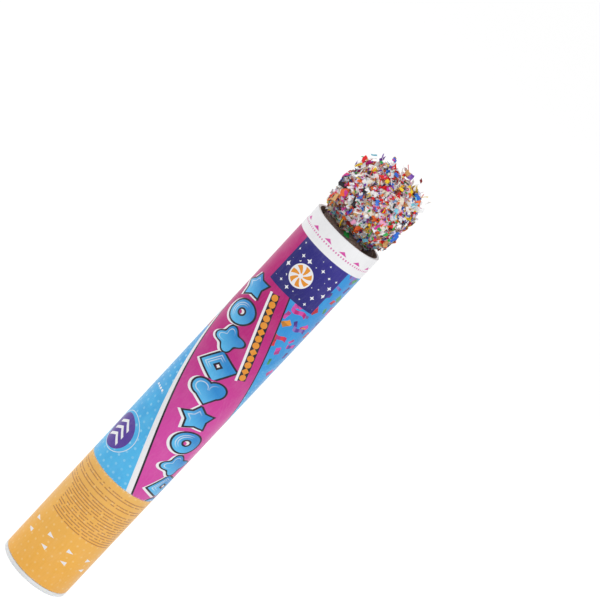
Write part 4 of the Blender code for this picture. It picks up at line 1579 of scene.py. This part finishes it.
@dataclass
class Plume:
    """The form of the confetti: a packed column, a neck against the far wall and a crown with tufts.

    An ellipse is its centre's x and y, its half width along X and its half depth along Y.
    """

    radius: float
    bottom: float
    rim: float
    top: float
    drop: float = 0.0200
    neck_half_depth: float = 0.0092
    crown_rise: float = 0.0170
    tufts_rise: float = 0.0270
    flare: float = 0.9
    widest: float = 0.0250
    crown: Ellipse = (0.0005, 0.0050, 0.0228, 0.0166)
    lumps: tuple[tuple[int, float, float], ...] = ((3, 150.0, 0.035), (5, -260.0, 0.025))
    tufts: int = 3
    tuft_turn: float = 0.6
    tuft_dip: float = 0.8
    tuft_roundness: float = 0.7
    clumps: tuple[tuple[float, float], ...] = ((120.0, 0.0034), (380.0, 0.0014))
    clump_depth: float = 0.0050
    spokes: int = 128
    rows: int = 18
    sides: int = 60

    def __post_init__(self) -> None:
        """Place the neck against the far wall of the bore."""
        self.level = self.rim - self.drop
        self.column: Ellipse = (0.0, 0.0, self.radius, self.radius)
        self.neck: Ellipse = (-0.0040, self.radius - self.neck_half_depth, 0.0170, self.neck_half_depth)

    @staticmethod
    def blended(first: Ellipse, second: Ellipse, share: float) -> Ellipse:
        """An ellipse part of the way from one to another."""
        return tuple(a + (b - a) * share for a, b in zip(first, second))

    def outlines(self) -> list[tuple[float, Ellipse]]:
        """Heights and ellipses of the whole surface, the lowest first.

        Returns:
            Each row's height and ellipse.
        """
        shares = [i / self.rows for i in range(self.rows)]
        reach = self.level - self.bottom
        found = [(self.bottom + reach * i / self.sides, self.column) for i in range(self.sides)]
        for share in shares:
            height = self.level + self.drop * share**2
            found.append((height, self.blended(self.column, self.neck, share)))
        for share in shares:
            widening = math.sin(share * math.pi / 2)
            height = self.rim + self.crown_rise * share
            found.append((height, self.blended(self.neck, self.crown, widening)))
        straight = self.tufts_rise - self.crown_rise
        for share in shares[::2]:
            found.append((self.rim + self.crown_rise + straight * share, self.crown))
        middle = (*self.crown[:2], 0.0, 0.0)
        for share in shares:
            turn = share * math.pi / 2
            height = self.rim + self.tufts_rise
            height += (self.top - height) * math.sin(turn)
            wide = math.cos(turn) ** self.tuft_roundness
            found.append((height, self.blended(middle, self.crown, wide)))
        return found

    def place(self, angle: float, z: float, ellipse: Ellipse, inset: float) -> tuple[float, float, float]:
        """A point of the surface, held by the bore up to the rim and by the flare above it.

        Args:
            angle: its bearing round the ellipse's centre.
            z: its height.
            ellipse: the outline at that height.
            inset: how far it is drawn in.

        Returns:
            The point.
        """
        x, y, half_width, half_depth = ellipse
        above = max(0.0, z - self.rim)
        bulge = sum(size * math.sin(count * angle + pitch * z) for count, pitch, size in self.lumps)
        swell = 1.0 + bulge * min(1.0, above / self.crown_rise)
        loose = max(0.0, z - self.rim + self.clump_depth) / self.crown_rise
        clump = self.clump(angle, z, ellipse) * min(1.0, loose)
        x += max(0.0, half_width * swell + clump - inset) * math.cos(angle)
        y += max(0.0, half_depth * swell + clump - inset) * math.sin(angle)
        limit = min(self.radius + above * self.flare, self.widest) - inset
        hold = min(1.0, limit / math.hypot(x, y))
        height = self.top - self.rim - self.tufts_rise
        part = max(0.0, above - self.tufts_rise) / height
        valley = (1 - math.sin(self.tufts * angle + self.tuft_turn)) / 2
        dip = self.tuft_dip * valley * part * (1 - part) * height
        return x * hold, y * hold, z - dip + clump * part

    def clump(self, angle: float, z: float, ellipse: Ellipse) -> float:
        """How far the clumps of paper stand out at a place."""
        x, y, half_width, half_depth = ellipse
        here = Vector((x + half_width * math.cos(angle), y + half_depth * math.sin(angle), z))
        return sum(depth * noise.noise(here * pitch) for pitch, depth in self.clumps)

    def build(self, name: str, inset: float) -> bpy.types.Object:
        """Build the closed form, drawn in by the inset.

        Args:
            name: the object's name.
            inset: how far it is drawn in from the CAD form.

        Returns:
            The new object.
        """
        spokes = self.spokes
        rows = [
            [self.place(math.tau * i / spokes, z, ellipse, inset) for i in range(spokes)]
            for z, ellipse in self.outlines()
        ]
        points = [(0.0, 0.0, self.bottom)] + [point for row in rows for point in row]
        points.append((self.crown[0], self.crown[1], self.top - inset))
        last = 1 + (len(rows) - 1) * spokes
        faces = []
        for i in range(spokes):
            j = (i + 1) % spokes
            faces.append((0, 1 + j, 1 + i))
            faces.append((last + i, last + j, len(points) - 1))
            for low in range(1, last, spokes):
                high = low + spokes
                faces.append((low + i, low + j, high + j, high + i))
        return mesh_object(name, points, faces, sharp_deg=180.0)


@dataclass(frozen=True)
class FlakeBatch:
    """One kind of flake: how many to a square metre, how big, how it lies and its shades."""

    name: str
    density: float
    size: float
    stretch: float
    spread: float
    sides: int
    tilt: float
    lift: float
    crumple: float
    seed: int
    first: Shade = Shade.PALE
    last: Shade = Shade.DARK


class FlakeTree:
    """Geometry Nodes that scatter crumpled paper flakes over a surface."""

    OF_A_BATCH = ("Density", "Size", "Stretch", "Spread", "Sides", "Tilt", "Lift", "Crumple", "Seed")
    OF_ALL = ("Thickness", "Bore", "Rim", "Flare", "Widest", "Margin", "Raggedness", "Floor", "Ceiling")
    OF_THE_PALETTE = ("Tint Low", "Tint High")
    WHOLE_NUMBERS = ("Sides", "Seed")

    def __init__(self, material: bpy.types.Material) -> None:
        """Build the tree once for every batch.

        Args:
            material: what the flakes are made of.
        """
        self.tree = bpy.data.node_groups.new("scatter_flakes", "GeometryNodeTree")
        face = self.tree.interface
        for way in ("INPUT", "OUTPUT"):
            face.new_socket(name="Geometry", in_out=way, socket_type="NodeSocketGeometry")
        self.sockets = {}
        for name in self.OF_A_BATCH + self.OF_ALL + self.OF_THE_PALETTE:
            kind = "NodeSocketInt" if name in self.WHOLE_NUMBERS else "NodeSocketFloat"
            self.sockets[name] = face.new_socket(name=name, in_out="INPUT", socket_type=kind).identifier
        self.graph = Graph(self.tree)
        self.source = self.graph.node("NodeGroupInput")
        self._lay(material)

    def _given(self, name: str) -> Sock:
        """One named input of the tree."""
        return self.graph.out(self.source, name)

    def _random(self, low: object, high: object, seed: Value, kind: str = "FLOAT") -> Sock:
        """A random value for each point, between low and high.

        Args:
            low, high: the limits, as numbers, vectors or sockets.
            seed: the seed.
            kind: the node's data type.

        Returns:
            The value.
        """
        node = self.graph.node("FunctionNodeRandomValue", {"data_type": kind})
        slots = {"FLOAT": (2, 3, 1), "FLOAT_VECTOR": (0, 1, 0)}[kind]
        self.graph.feed(node.inputs[slots[0]], low)
        self.graph.feed(node.inputs[slots[1]], high)
        self.graph.feed(node.inputs["Seed"], seed)
        return self.graph.out(node, slots[2])

    def _flake(self) -> Sock:
        """One flat flake with a real thickness, closed all round.

        Returns:
            The flake's geometry.
        """
        graph = self.graph
        sides = self._given("Sides")
        counts = {"Size X": 1.0, "Size Y": 1.0, "Vertices X": sides, "Vertices Y": sides}
        grid = graph.node("GeometryNodeMeshGrid", None, counts)
        under = graph.node("GeometryNodeFlipFaces", None, {"Mesh": grid.outputs["Mesh"]})
        upper = graph.node(
            "GeometryNodeExtrudeMesh",
            {"mode": "FACES"},
            {"Mesh": grid.outputs["Mesh"], "Offset Scale": 1.0, "Individual": False},
        )
        both = graph.node("GeometryNodeJoinGeometry")
        for part in (under, upper):
            self.tree.links.new(part.outputs["Mesh"], both.inputs[0])
        seam = {"Geometry": both.outputs[0], "Distance": 0.001}
        return graph.out(graph.node("GeometryNodeMergeByDistance", None, seam))

    def _lay(self, material: bpy.types.Material) -> None:
        """Scatter, turn, colour, crumple and hold the flakes inside the tube.

        Args:
            material: what they are made of.
        """
        graph = self.graph
        seed = self._given("Seed")
        points = graph.node(
            "GeometryNodeDistributePointsOnFaces",
            None,
            {"Mesh": self._given("Geometry"), "Density": self._given("Density"), "Seed": seed},
        )
        size, spread = self._given("Size"), self._given("Spread")
        wide = self._random(1 - spread, 1 + spread, seed + 3.0)
        long = self._random(1 - spread, 1 + spread, seed + 5.0)
        scale = graph.vector(size * wide, size * long * self._given("Stretch"), self._given("Thickness"))
        laid = graph.node(
            "GeometryNodeInstanceOnPoints",
            None,
            {
                "Points": points.outputs["Points"],
                "Instance": self._flake(),
                "Rotation": points.outputs["Rotation"],
                "Scale": scale,
            },
        )
        tilt = self._given("Tilt")
        lean = graph.vector(tilt, tilt, math.pi)
        back = graph.vector(0 - tilt, 0 - tilt, -math.pi)
        turn = self._random(back, lean, seed + 7.0, "FLOAT_VECTOR")
        turning = {"Instances": laid.outputs[0], "Rotation": turn, "Local Space": True}
        turned = graph.node("GeometryNodeRotateInstances", None, turning)
        height = self._random(0.0, self._given("Lift"), seed + 9.0)
        raising = self._scaled(points.outputs["Normal"], height)
        geometry = self._moved(graph.out(turned), "Offset", raising)
        tint = self._random(self._given("Tint Low"), self._given("Tint High"), seed + 11.0)
        for name, value in ((TINT, tint), (SHEEN, self._random(0.0, 1.0, seed + 13.0))):
            stored = graph.node(
                "GeometryNodeStoreNamedAttribute",
                {"data_type": "FLOAT", "domain": "INSTANCE"},
                {"Geometry": geometry, "Name": name, "Value": value},
            )
            geometry = graph.out(stored)
        real = graph.node("GeometryNodeRealizeInstances", None, {"Geometry": geometry})
        held = self._held(self._crumpled(graph.out(real)))
        dressed = graph.node("GeometryNodeSetMaterial", None, {"Geometry": held, "Material": material})
        graph.node("NodeGroupOutput", None, {0: dressed.outputs[0]})

    def _scaled(self, vector: object, length: Sock) -> Sock:
        """A vector times a length."""
        settings = {"operation": "SCALE"}
        return self.graph.out(self.graph.node("ShaderNodeVectorMath", settings, {0: vector, "Scale": length}))

    def _moved(self, geometry: Sock, way: str, value: Sock) -> Sock:
        """The geometry moved by an Offset, or to a Position."""
        node = self.graph.node("GeometryNodeSetPosition", None, {"Geometry": geometry, way: value})
        return self.graph.out(node)

    def _crumpled(self, geometry: Sock) -> Sock:
        """Bend the flakes by a noise, so that no two lie alike.

        Args:
            geometry: the flakes.

        Returns:
            The bent flakes.
        """
        graph = self.graph
        here = graph.out(graph.node("GeometryNodeInputPosition"))
        wrinkles = graph.node("ShaderNodeTexNoise", None, {"Vector": here, "Scale": 240.0, "Detail": 1.5})
        middle = {0: wrinkles.outputs["Color"], 1: (0.5, 0.5, 0.5)}
        shifted = graph.node("ShaderNodeVectorMath", {"operation": "SUBTRACT"}, middle)
        return self._moved(geometry, "Offset", self._scaled(shifted.outputs[0], self._given("Crumple")))

    def _held(self, geometry: Sock) -> Sock:
        """Keep every point inside the bore below the rim, and inside a widening cone above it.

        Args:
            geometry: the flakes.

        Returns:
            The flakes, held in.
        """
        graph = self.graph
        here = graph.out(graph.node("GeometryNodeInputPosition"))
        x, y, z = graph.split(here)
        widest = self._given("Bore") + (z - self._given("Rim")).most(0.0) * self._given("Flare")
        hollow = graph.noise(here, 150.0, 2.0).ramp(0.42, 0.7) * self._given("Raggedness")
        limit = widest.least(self._given("Widest")) - hollow
        reach = graph.length(x, y).most(1e-5)
        share = reach.eased(limit, self._given("Margin")) / reach
        level = z.most(self._given("Floor")).least(self._given("Ceiling"))
        return self._moved(geometry, "Position", graph.vector(x * share, y * share, level))

    def scatter(
        self, base: bpy.types.Object, batch: FlakeBatch, palette: Palette, limits: dict[str, float]
    ) -> bpy.types.Object:
        """Scatter one batch over a surface and turn it into a plain mesh.

        Args:
            base: the surface.
            batch: what is scattered.
            palette: the flakes' colours.
            limits: the tree's other inputs by name.

        Returns:
            The flakes as one object.
        """
        own = {name: getattr(batch, name.lower()) for name in self.OF_A_BATCH}
        tints = dict(zip(self.OF_THE_PALETTE, palette.span(batch.first, batch.last)))
        modifier = base.modifiers.new(batch.name, "NODES")
        modifier.node_group = self.tree
        for name, value in (own | tints | limits).items():
            modifier[self.sockets[name]] = value
        mesh = applied(base)
        base.modifiers.remove(modifier)
        LOG.info("%s has %d faces", batch.name, len(mesh.polygons))
        return linked(batch.name, mesh)


@dataclass
class Charge:
    """Confetti and the two wads behind it."""

    rim: float
    bore: float
    core_inset: float = 0.8 * MM
    wall_gap: float = 0.6 * MM
    flake_thickness: float = 0.09 * MM
    widest: float = 26.4 * MM
    flare: float = 1.1
    fly: float = 9.8 * MM

    def __post_init__(self) -> None:
        """Take the plume's sizes from the CAD node."""
        low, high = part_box("confetti_charge")
        self.plume = Plume(self.bore - self.wall_gap, low.z, self.rim, high.z)

    def build(self) -> None:
        """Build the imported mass, its loose flakes and the wads."""
        core = self.plume.build("confetti_core", self.core_inset)
        packed = PackedConfetti("packed_confetti", self.rim, self.plume.level).material()
        settle(core, Body.CHARGE, "confetti", ["confetti_charge"], packed)
        self._flakes()
        self._wads()

    def _flakes(self) -> None:
        """Scatter every batch over its part of the plume, and hold it inside that part's limits."""
        paper = ConfettiPaper("confetti_flakes")
        tree = FlakeTree(paper.material())
        limits = {
            "Thickness": self.flake_thickness,
            "Bore": self.bore,
            "Rim": self.rim + 0.6 * MM,
            "Flare": self.flare,
            "Widest": self.widest,
            "Margin": 2.2 * MM,
            "Raggedness": 4.2 * MM,
            "Floor": self.rim - 3.5 * MM,
            "Ceiling": self.plume.top + self.fly,
        }
        in_bore = {"Floor": self.plume.bottom + 0.2 * MM, "Margin": 0.3 * MM, "Raggedness": 0.0}
        for name, is_part, own, batches in (
            ("crest", self._is_loose, {}, self._burst_batches()),
            ("top", self._is_top, {}, self._flying_batches()),
            ("flank", self._is_pressed, in_bore, self._pressed_batches()),
        ):
            base = self._part(name, is_part)
            for batch in batches:
                flakes = tree.scatter(base, batch, paper.palette, limits | own)
                settle(flakes, Body.CHARGE, "confetti")
            bpy.data.objects.remove(base, do_unlink=True)

    @staticmethod
    def _burst_batches() -> tuple[FlakeBatch, ...]:
        """Film, paper, shreds, flecks and strips that lie loose on the burst.

        Returns:
            The batches.
        """
        pale, bright = Shade.PALE, Shade.BRIGHT
        return (
            FlakeBatch(
                "confetti_film", density=38000.0, size=5.4 * MM, stretch=1.1, spread=0.4, sides=5,
                tilt=0.36, lift=1.6 * MM, crumple=3.4 * MM, seed=19, first=pale, last=pale,
            ),
            FlakeBatch(
                "confetti_large", density=15000.0, size=5.4 * MM, stretch=1.0, spread=0.45, sides=5,
                tilt=0.8, lift=4.0 * MM, crumple=2.8 * MM, seed=11, first=bright,
            ),
            FlakeBatch(
                "confetti_medium", density=110000.0, size=2.9 * MM, stretch=1.2, spread=0.45, sides=4,
                tilt=0.9, lift=3.6 * MM, crumple=2.4 * MM, seed=23,
            ),
            FlakeBatch(
                "confetti_shreds", density=620000.0, size=1.4 * MM, stretch=1.4, spread=0.6, sides=2,
                tilt=1.0, lift=3.0 * MM, crumple=1.0 * MM, seed=37, first=bright,
            ),
            FlakeBatch(
                "confetti_flecks", density=420000.0, size=2.0 * MM, stretch=1.3, spread=0.5, sides=2,
                tilt=0.42, lift=2.6 * MM, crumple=1.0 * MM, seed=41, first=pale, last=pale,
            ),
            FlakeBatch(
                "confetti_strips", density=6000.0, size=1.0 * MM, stretch=6.0, spread=0.4, sides=6,
                tilt=0.7, lift=3.0 * MM, crumple=4.4 * MM, seed=61, first=bright,
            ),
        )

    @staticmethod
    def _flying_batches() -> tuple[FlakeBatch, ...]:
        """Flakes that fly up just above the tufts.

        Returns:
            The batches.
        """
        return (
            FlakeBatch(
                "confetti_loose", density=60000.0, size=3.0 * MM, stretch=1.1, spread=0.6, sides=4,
                tilt=1.4, lift=11.0 * MM, crumple=2.4 * MM, seed=71,
            ),
        )

    @staticmethod
    def _pressed_batches() -> tuple[FlakeBatch, ...]:
        """Flakes that lie flat against the bore.

        Returns:
            The batches.
        """
        return (
            FlakeBatch(
                "confetti_pressed", density=60000.0, size=5.0 * MM, stretch=1.0, spread=0.5, sides=3,
                tilt=0.04, lift=0.4 * MM, crumple=0.6 * MM, seed=53,
            ),
        )

    def _is_loose(self, middle: Vector) -> bool:
        """Whether loose flakes lie here: above the rim, and below it only against the far wall."""
        ragged = 1.0 + 1.2 * math.sin(middle.x * 330 + 0.5) + 0.8 * math.sin(middle.x * 870)
        is_far = middle.y > 13.0 * MM and middle.z > self.rim - 11.0 * MM
        return middle.z > self.rim + ragged * MM or is_far

    def _is_pressed(self, middle: Vector) -> bool:
        """Whether flakes lie flat here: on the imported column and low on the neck."""
        return middle.z <= self.rim - 10.0 * MM and not self._is_loose(middle)

    def _is_top(self, middle: Vector) -> bool:
        """Whether this lies on the tufts, from where flakes fly up."""
        return middle.z > self.rim + self.plume.tufts_rise + 4.0 * MM

    def _part(self, name: str, is_part: Callable[[Vector], bool]) -> bpy.types.Object:
        """A copy of the plume with only the faces whose middle passes the test.

        Args:
            name: the copy's name.
            is_part: the test.

        Returns:
            The copy.
        """
        item = self.plume.build(name, self.core_inset * 0.6)
        with edited(item.data) as shape:
            middles = {face: face.calc_center_median() for face in shape.faces}
            lowest = self.plume.bottom + 1.0 * MM
            spare = [face for face, at in middles.items() if at.z < lowest or not is_part(at)]
            bmesh.ops.delete(shape, geom=spare, context="FACES")
        return item

    @staticmethod
    def _wads() -> None:
        """The board disc and the foam plug, with softened edges."""
        board = Card("grey_board", rgb(150, 142, 130), 500.0)
        foam = Foam("wad_foam", rgb(226, 226, 230))
        for node, soft, finish in (("pusher_disc", 0.25 * MM, board), ("foam_wad", 1.2 * MM, foam)):
            low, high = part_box(node)
            outline = [(0.0, low.z)]
            outline += fillet((high.x - soft, low.z + soft), soft, -90)
            outline += fillet((high.x - soft, high.z - soft), soft, 0)
            outline += [(0.0, high.z)]
            item = Lathe(node + "_cut", outline, 160).build()
            settle(item, Body.CHARGE, finish.name, [node], finish.material())


@dataclass
class Works:
    """The air bottle, the valve and the collar inside the tube.

    Each piece is its CAD form, smooth where it is round and with softened edges.
    """

    edge: float = 0.12 * MM
    sharp_deg: float = 33.0
    flat_deg: float = 0.5

    def build(self, nodes: dict[str, bpy.types.Object]) -> None:
        """Build every inner piece with its finish.

        Args:
            nodes: the frame's nodes by name.
        """
        rubber = Moulding("seal_rubber", rgb(30, 30, 32), 0.62, 0.3, 0.03)
        bottle = Moulding("bottle_plastic", rgb(222, 222, 214), 0.3, 1.6, 0.05, 0.15)
        pieces = (
            ("base_pad", Body.GRIP, Foam("pad_foam", rgb(62, 62, 66))),
            ("bottle_cradle", Body.GRIP, Moulding("cradle_plastic", rgb(62, 64, 70), 0.48)),
            ("air_bottle", Body.GRIP, bottle),
            ("fill_valve", Body.GRIP, rubber),
            ("neck_gasket", Body.GRIP, rubber),
            ("plug_seal_lower", Body.PLUG, rubber),
            ("plug_seal_upper", Body.PLUG, rubber),
            ("valve_body", Body.GRIP, Moulding("valve_plastic", rgb(206, 60, 52), 0.38)),
            ("retaining_ring", Body.GRIP, Steel("ring_steel")),
            ("valve_plug", Body.PLUG, Moulding("plug_plastic", rgb(236, 198, 70), 0.36)),
            ("cam_collar", Body.BARREL, Moulding("collar_plastic", rgb(240, 240, 236), 0.4)),
        )
        finishes = dict.fromkeys(finish for _, _, finish in pieces)
        materials = {finish: finish.material() for finish in finishes}
        for node, body, finish in pieces:
            item = self._softened(node, nodes[node])
            settle(item, body, finish.name, [node], materials[finish])

    def _softened(self, name: str, source: bpy.types.Object) -> bpy.types.Object:
        """Make a piece from a merged copy of its CAD mesh.

        Args:
            name: the node's name.
            source: the CAD node.

        Returns:
            The piece, without its finish.
        """
        shape = bmesh.new()
        shape.from_mesh(source.data)
        bmesh.ops.remove_doubles(shape, verts=shape.verts, dist=1e-6)
        volume = shape.calc_volume()
        flat = math.radians(self.flat_deg)
        bmesh.ops.dissolve_limit(shape, angle_limit=flat, verts=shape.verts, edges=shape.edges)
        blank = linked(name + "_blank", bpy.data.meshes.new(name + "_rough"))
        shape.to_mesh(blank.data)
        shape.free()
        bevel = blank.modifiers.new("edges", "BEVEL")
        bevel.width = self.edge
        bevel.segments = 2
        bevel.limit_method = "ANGLE"
        bevel.angle_limit = math.radians(self.sharp_deg)
        bevel.use_clamp_overlap = True
        mesh = applied(blank)
        bpy.data.objects.remove(blank, do_unlink=True)
        mesh.materials.clear()
        smooth(mesh, self.sharp_deg)
        item = linked(name + "_finished", mesh)
        self._report(item, volume)
        return item

    @staticmethod
    def _report(item: bpy.types.Object, before: float) -> None:
        """Log how much of its volume the piece keeps and whether it is still closed.

        Args:
            item: the piece.
            before: the volume of its CAD mesh.
        """
        shape = bmesh.new()
        shape.from_mesh(item.data)
        open_edges = sum(not edge.is_manifold for edge in shape.edges)
        kept = shape.calc_volume() / before
        LOG.info("%s keeps %.4f of its volume, %d open edges", item.name, kept, open_edges)
        shape.free()


@dataclass
class Studio:
    """A pale floor, soft even light and the camera of the photograph."""

    target: tuple[float, float, float] = (0.00656, 0.0, 0.24770)
    distance: float = 1.5658
    elevation: float = 0.2276
    roll: float = 0.7515
    lens_px: float = 2535.3
    frame_px: float = 600.0
    sensor_mm: float = 36.0
    floor_half: float = 14.0
    glow: float = 1.5
    surround: float = 0.58
    box_height: float = 1.8
    box_distance: float = 1.8
    box_up: float = 1.1
    aim_up: float = 0.16
    softboxes: tuple[tuple[str, float, float, float], ...] = (
        ("softbox_right", 52.0, 0.5, 12.5),
        ("softbox_left", -98.0, 0.9, 12.5),
        ("softbox_front", -12.0, 0.8, 5.0),
    )

    def build(self) -> None:
        """Build the whole set."""
        bpy.context.scene.view_settings.view_transform = "Standard"
        self._camera()
        self._floor()
        self._world()
        for name, bearing_deg, width, power in self.softboxes:
            self._softbox(name, bearing_deg, width, power)

    def _camera(self) -> None:
        """Place the camera, rolled so that the tube lies across the picture."""
        sin, cos = math.sin(self.elevation), math.cos(self.elevation)
        back = Vector((0.0, -cos, sin))
        right, up = Vector((1.0, 0.0, 0.0)), Vector((0.0, sin, cos))
        across = math.cos(self.roll) * right + math.sin(self.roll) * up
        over = -math.sin(self.roll) * right + math.cos(self.roll) * up
        data = bpy.data.cameras.new("camera")
        data.sensor_width = self.sensor_mm
        data.lens = self.lens_px * self.sensor_mm / self.frame_px
        data.clip_start = 0.05
        data.clip_end = 50.0
        camera = linked("camera", data)
        axes = Matrix((across, over, back)).transposed().to_4x4()
        camera.matrix_world = Matrix.Translation(Vector(self.target) + back * self.distance) @ axes
        bpy.context.scene.camera = camera

    def _floor(self) -> None:
        """A floor that keeps the shadow and shows white to the camera."""
        half = self.floor_half
        points = [(-half, -half, 0.0), (half, -half, 0.0), (half, half, 0.0), (-half, half, 0.0)]
        floor = mesh_object("floor", points, [(0, 1, 2, 3)])
        shader = Shader("floor_white")
        where = shader.place()
        tone = shader.mix(shader.noise(where, 6.0) * 0.05, rgb(236, 236, 236), rgb(226, 226, 226))
        shader.set(base_color=tone, roughness=0.9)
        ray = shader.node("ShaderNodeLightPath")
        seen = shader.out(ray, "Is Camera Ray").most(shader.out(ray, "Is Glossy Ray"))
        light = {"Color": (1.0, 1.0, 1.0), "Strength": self.glow}
        glow = shader.node("ShaderNodeEmission", None, light)
        blend = shader.node("ShaderNodeMixShader", None, {0: seen * 0.5, 2: glow.outputs[0]})
        shader.tree.links.new(shader.surface.outputs[0], blend.inputs[1])
        shader.tree.links.new(blend.outputs[0], shader.tree.nodes["Material Output"].inputs[0])
        floor.data.materials.append(shader.material)

    def _world(self) -> None:
        """An even white surround."""
        world = bpy.data.worlds.new("surround")
        bpy.context.scene.world = world
        world.use_nodes = True
        surround = world.node_tree.nodes["Background"]
        surround.inputs["Color"].default_value = (1.0, 1.0, 1.0, 1.0)
        surround.inputs["Strength"].default_value = self.surround

    def _softbox(self, name: str, bearing_deg: float, width: float, power: float) -> None:
        """A tall soft light.

        Args:
            name: the lamp's name.
            bearing_deg: where it stands round the tube, from the front towards +X.
            width: its width.
            power: its power in watts.
        """
        data = bpy.data.lights.new(name, "AREA")
        data.shape = "RECTANGLE"
        data.size = width
        data.size_y = self.box_height
        data.energy = power
        lamp = linked(name, data)
        bearing = math.radians(bearing_deg)
        across, back = math.sin(bearing) * self.box_distance, -math.cos(bearing) * self.box_distance
        lamp.location = Vector((across, back, self.box_up))
        aim = Vector((0.0, 0.0, self.aim_up)) - lamp.location
        lamp.rotation_euler = aim.to_track_quat("-Z", "Y").to_euler()


def main() -> None:
    """Build every piece in order round the frame."""
    logging.basicConfig(level=logging.INFO, format="%(message)s")
    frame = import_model()
    Studio().build()

    card = Card("cardboard", rgb(124, 106, 94)).material()
    barrel_tube = Tube("barrel_tube", Body.BARREL)
    grip_tube = Tube("grip_tube", Body.GRIP)
    barrel_tube.build(card)
    grip_tube.build(card)
    barrel_wrap = PaperWrap("barrel_wrap", Body.BARREL, "barrel_print", is_muzzle=True)
    grip_wrap = PaperWrap("grip_wrap", Body.GRIP, "grip_print", is_muzzle=False)
    barrel_wrap.build(barrel_tube.bore, BarrelPrint().material())
    grip_wrap.build(grip_tube.bore, GripPrint().material())

    cap_plastic = Moulding("cap_plastic", rgb(246, 247, 249), 0.38, 0.4, 0.02, 0.1)
    EndCap().build(cap_plastic.material(), grip_tube)
    TornSeal().build(TornFoil("torn_foil").material())
    Works().build(frame["nodes"])
    Charge(rim=barrel_wrap.top, bore=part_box("burst_seal")[1].x - SEAL_ROOM).build()


if __name__ == "__main__":
    main()
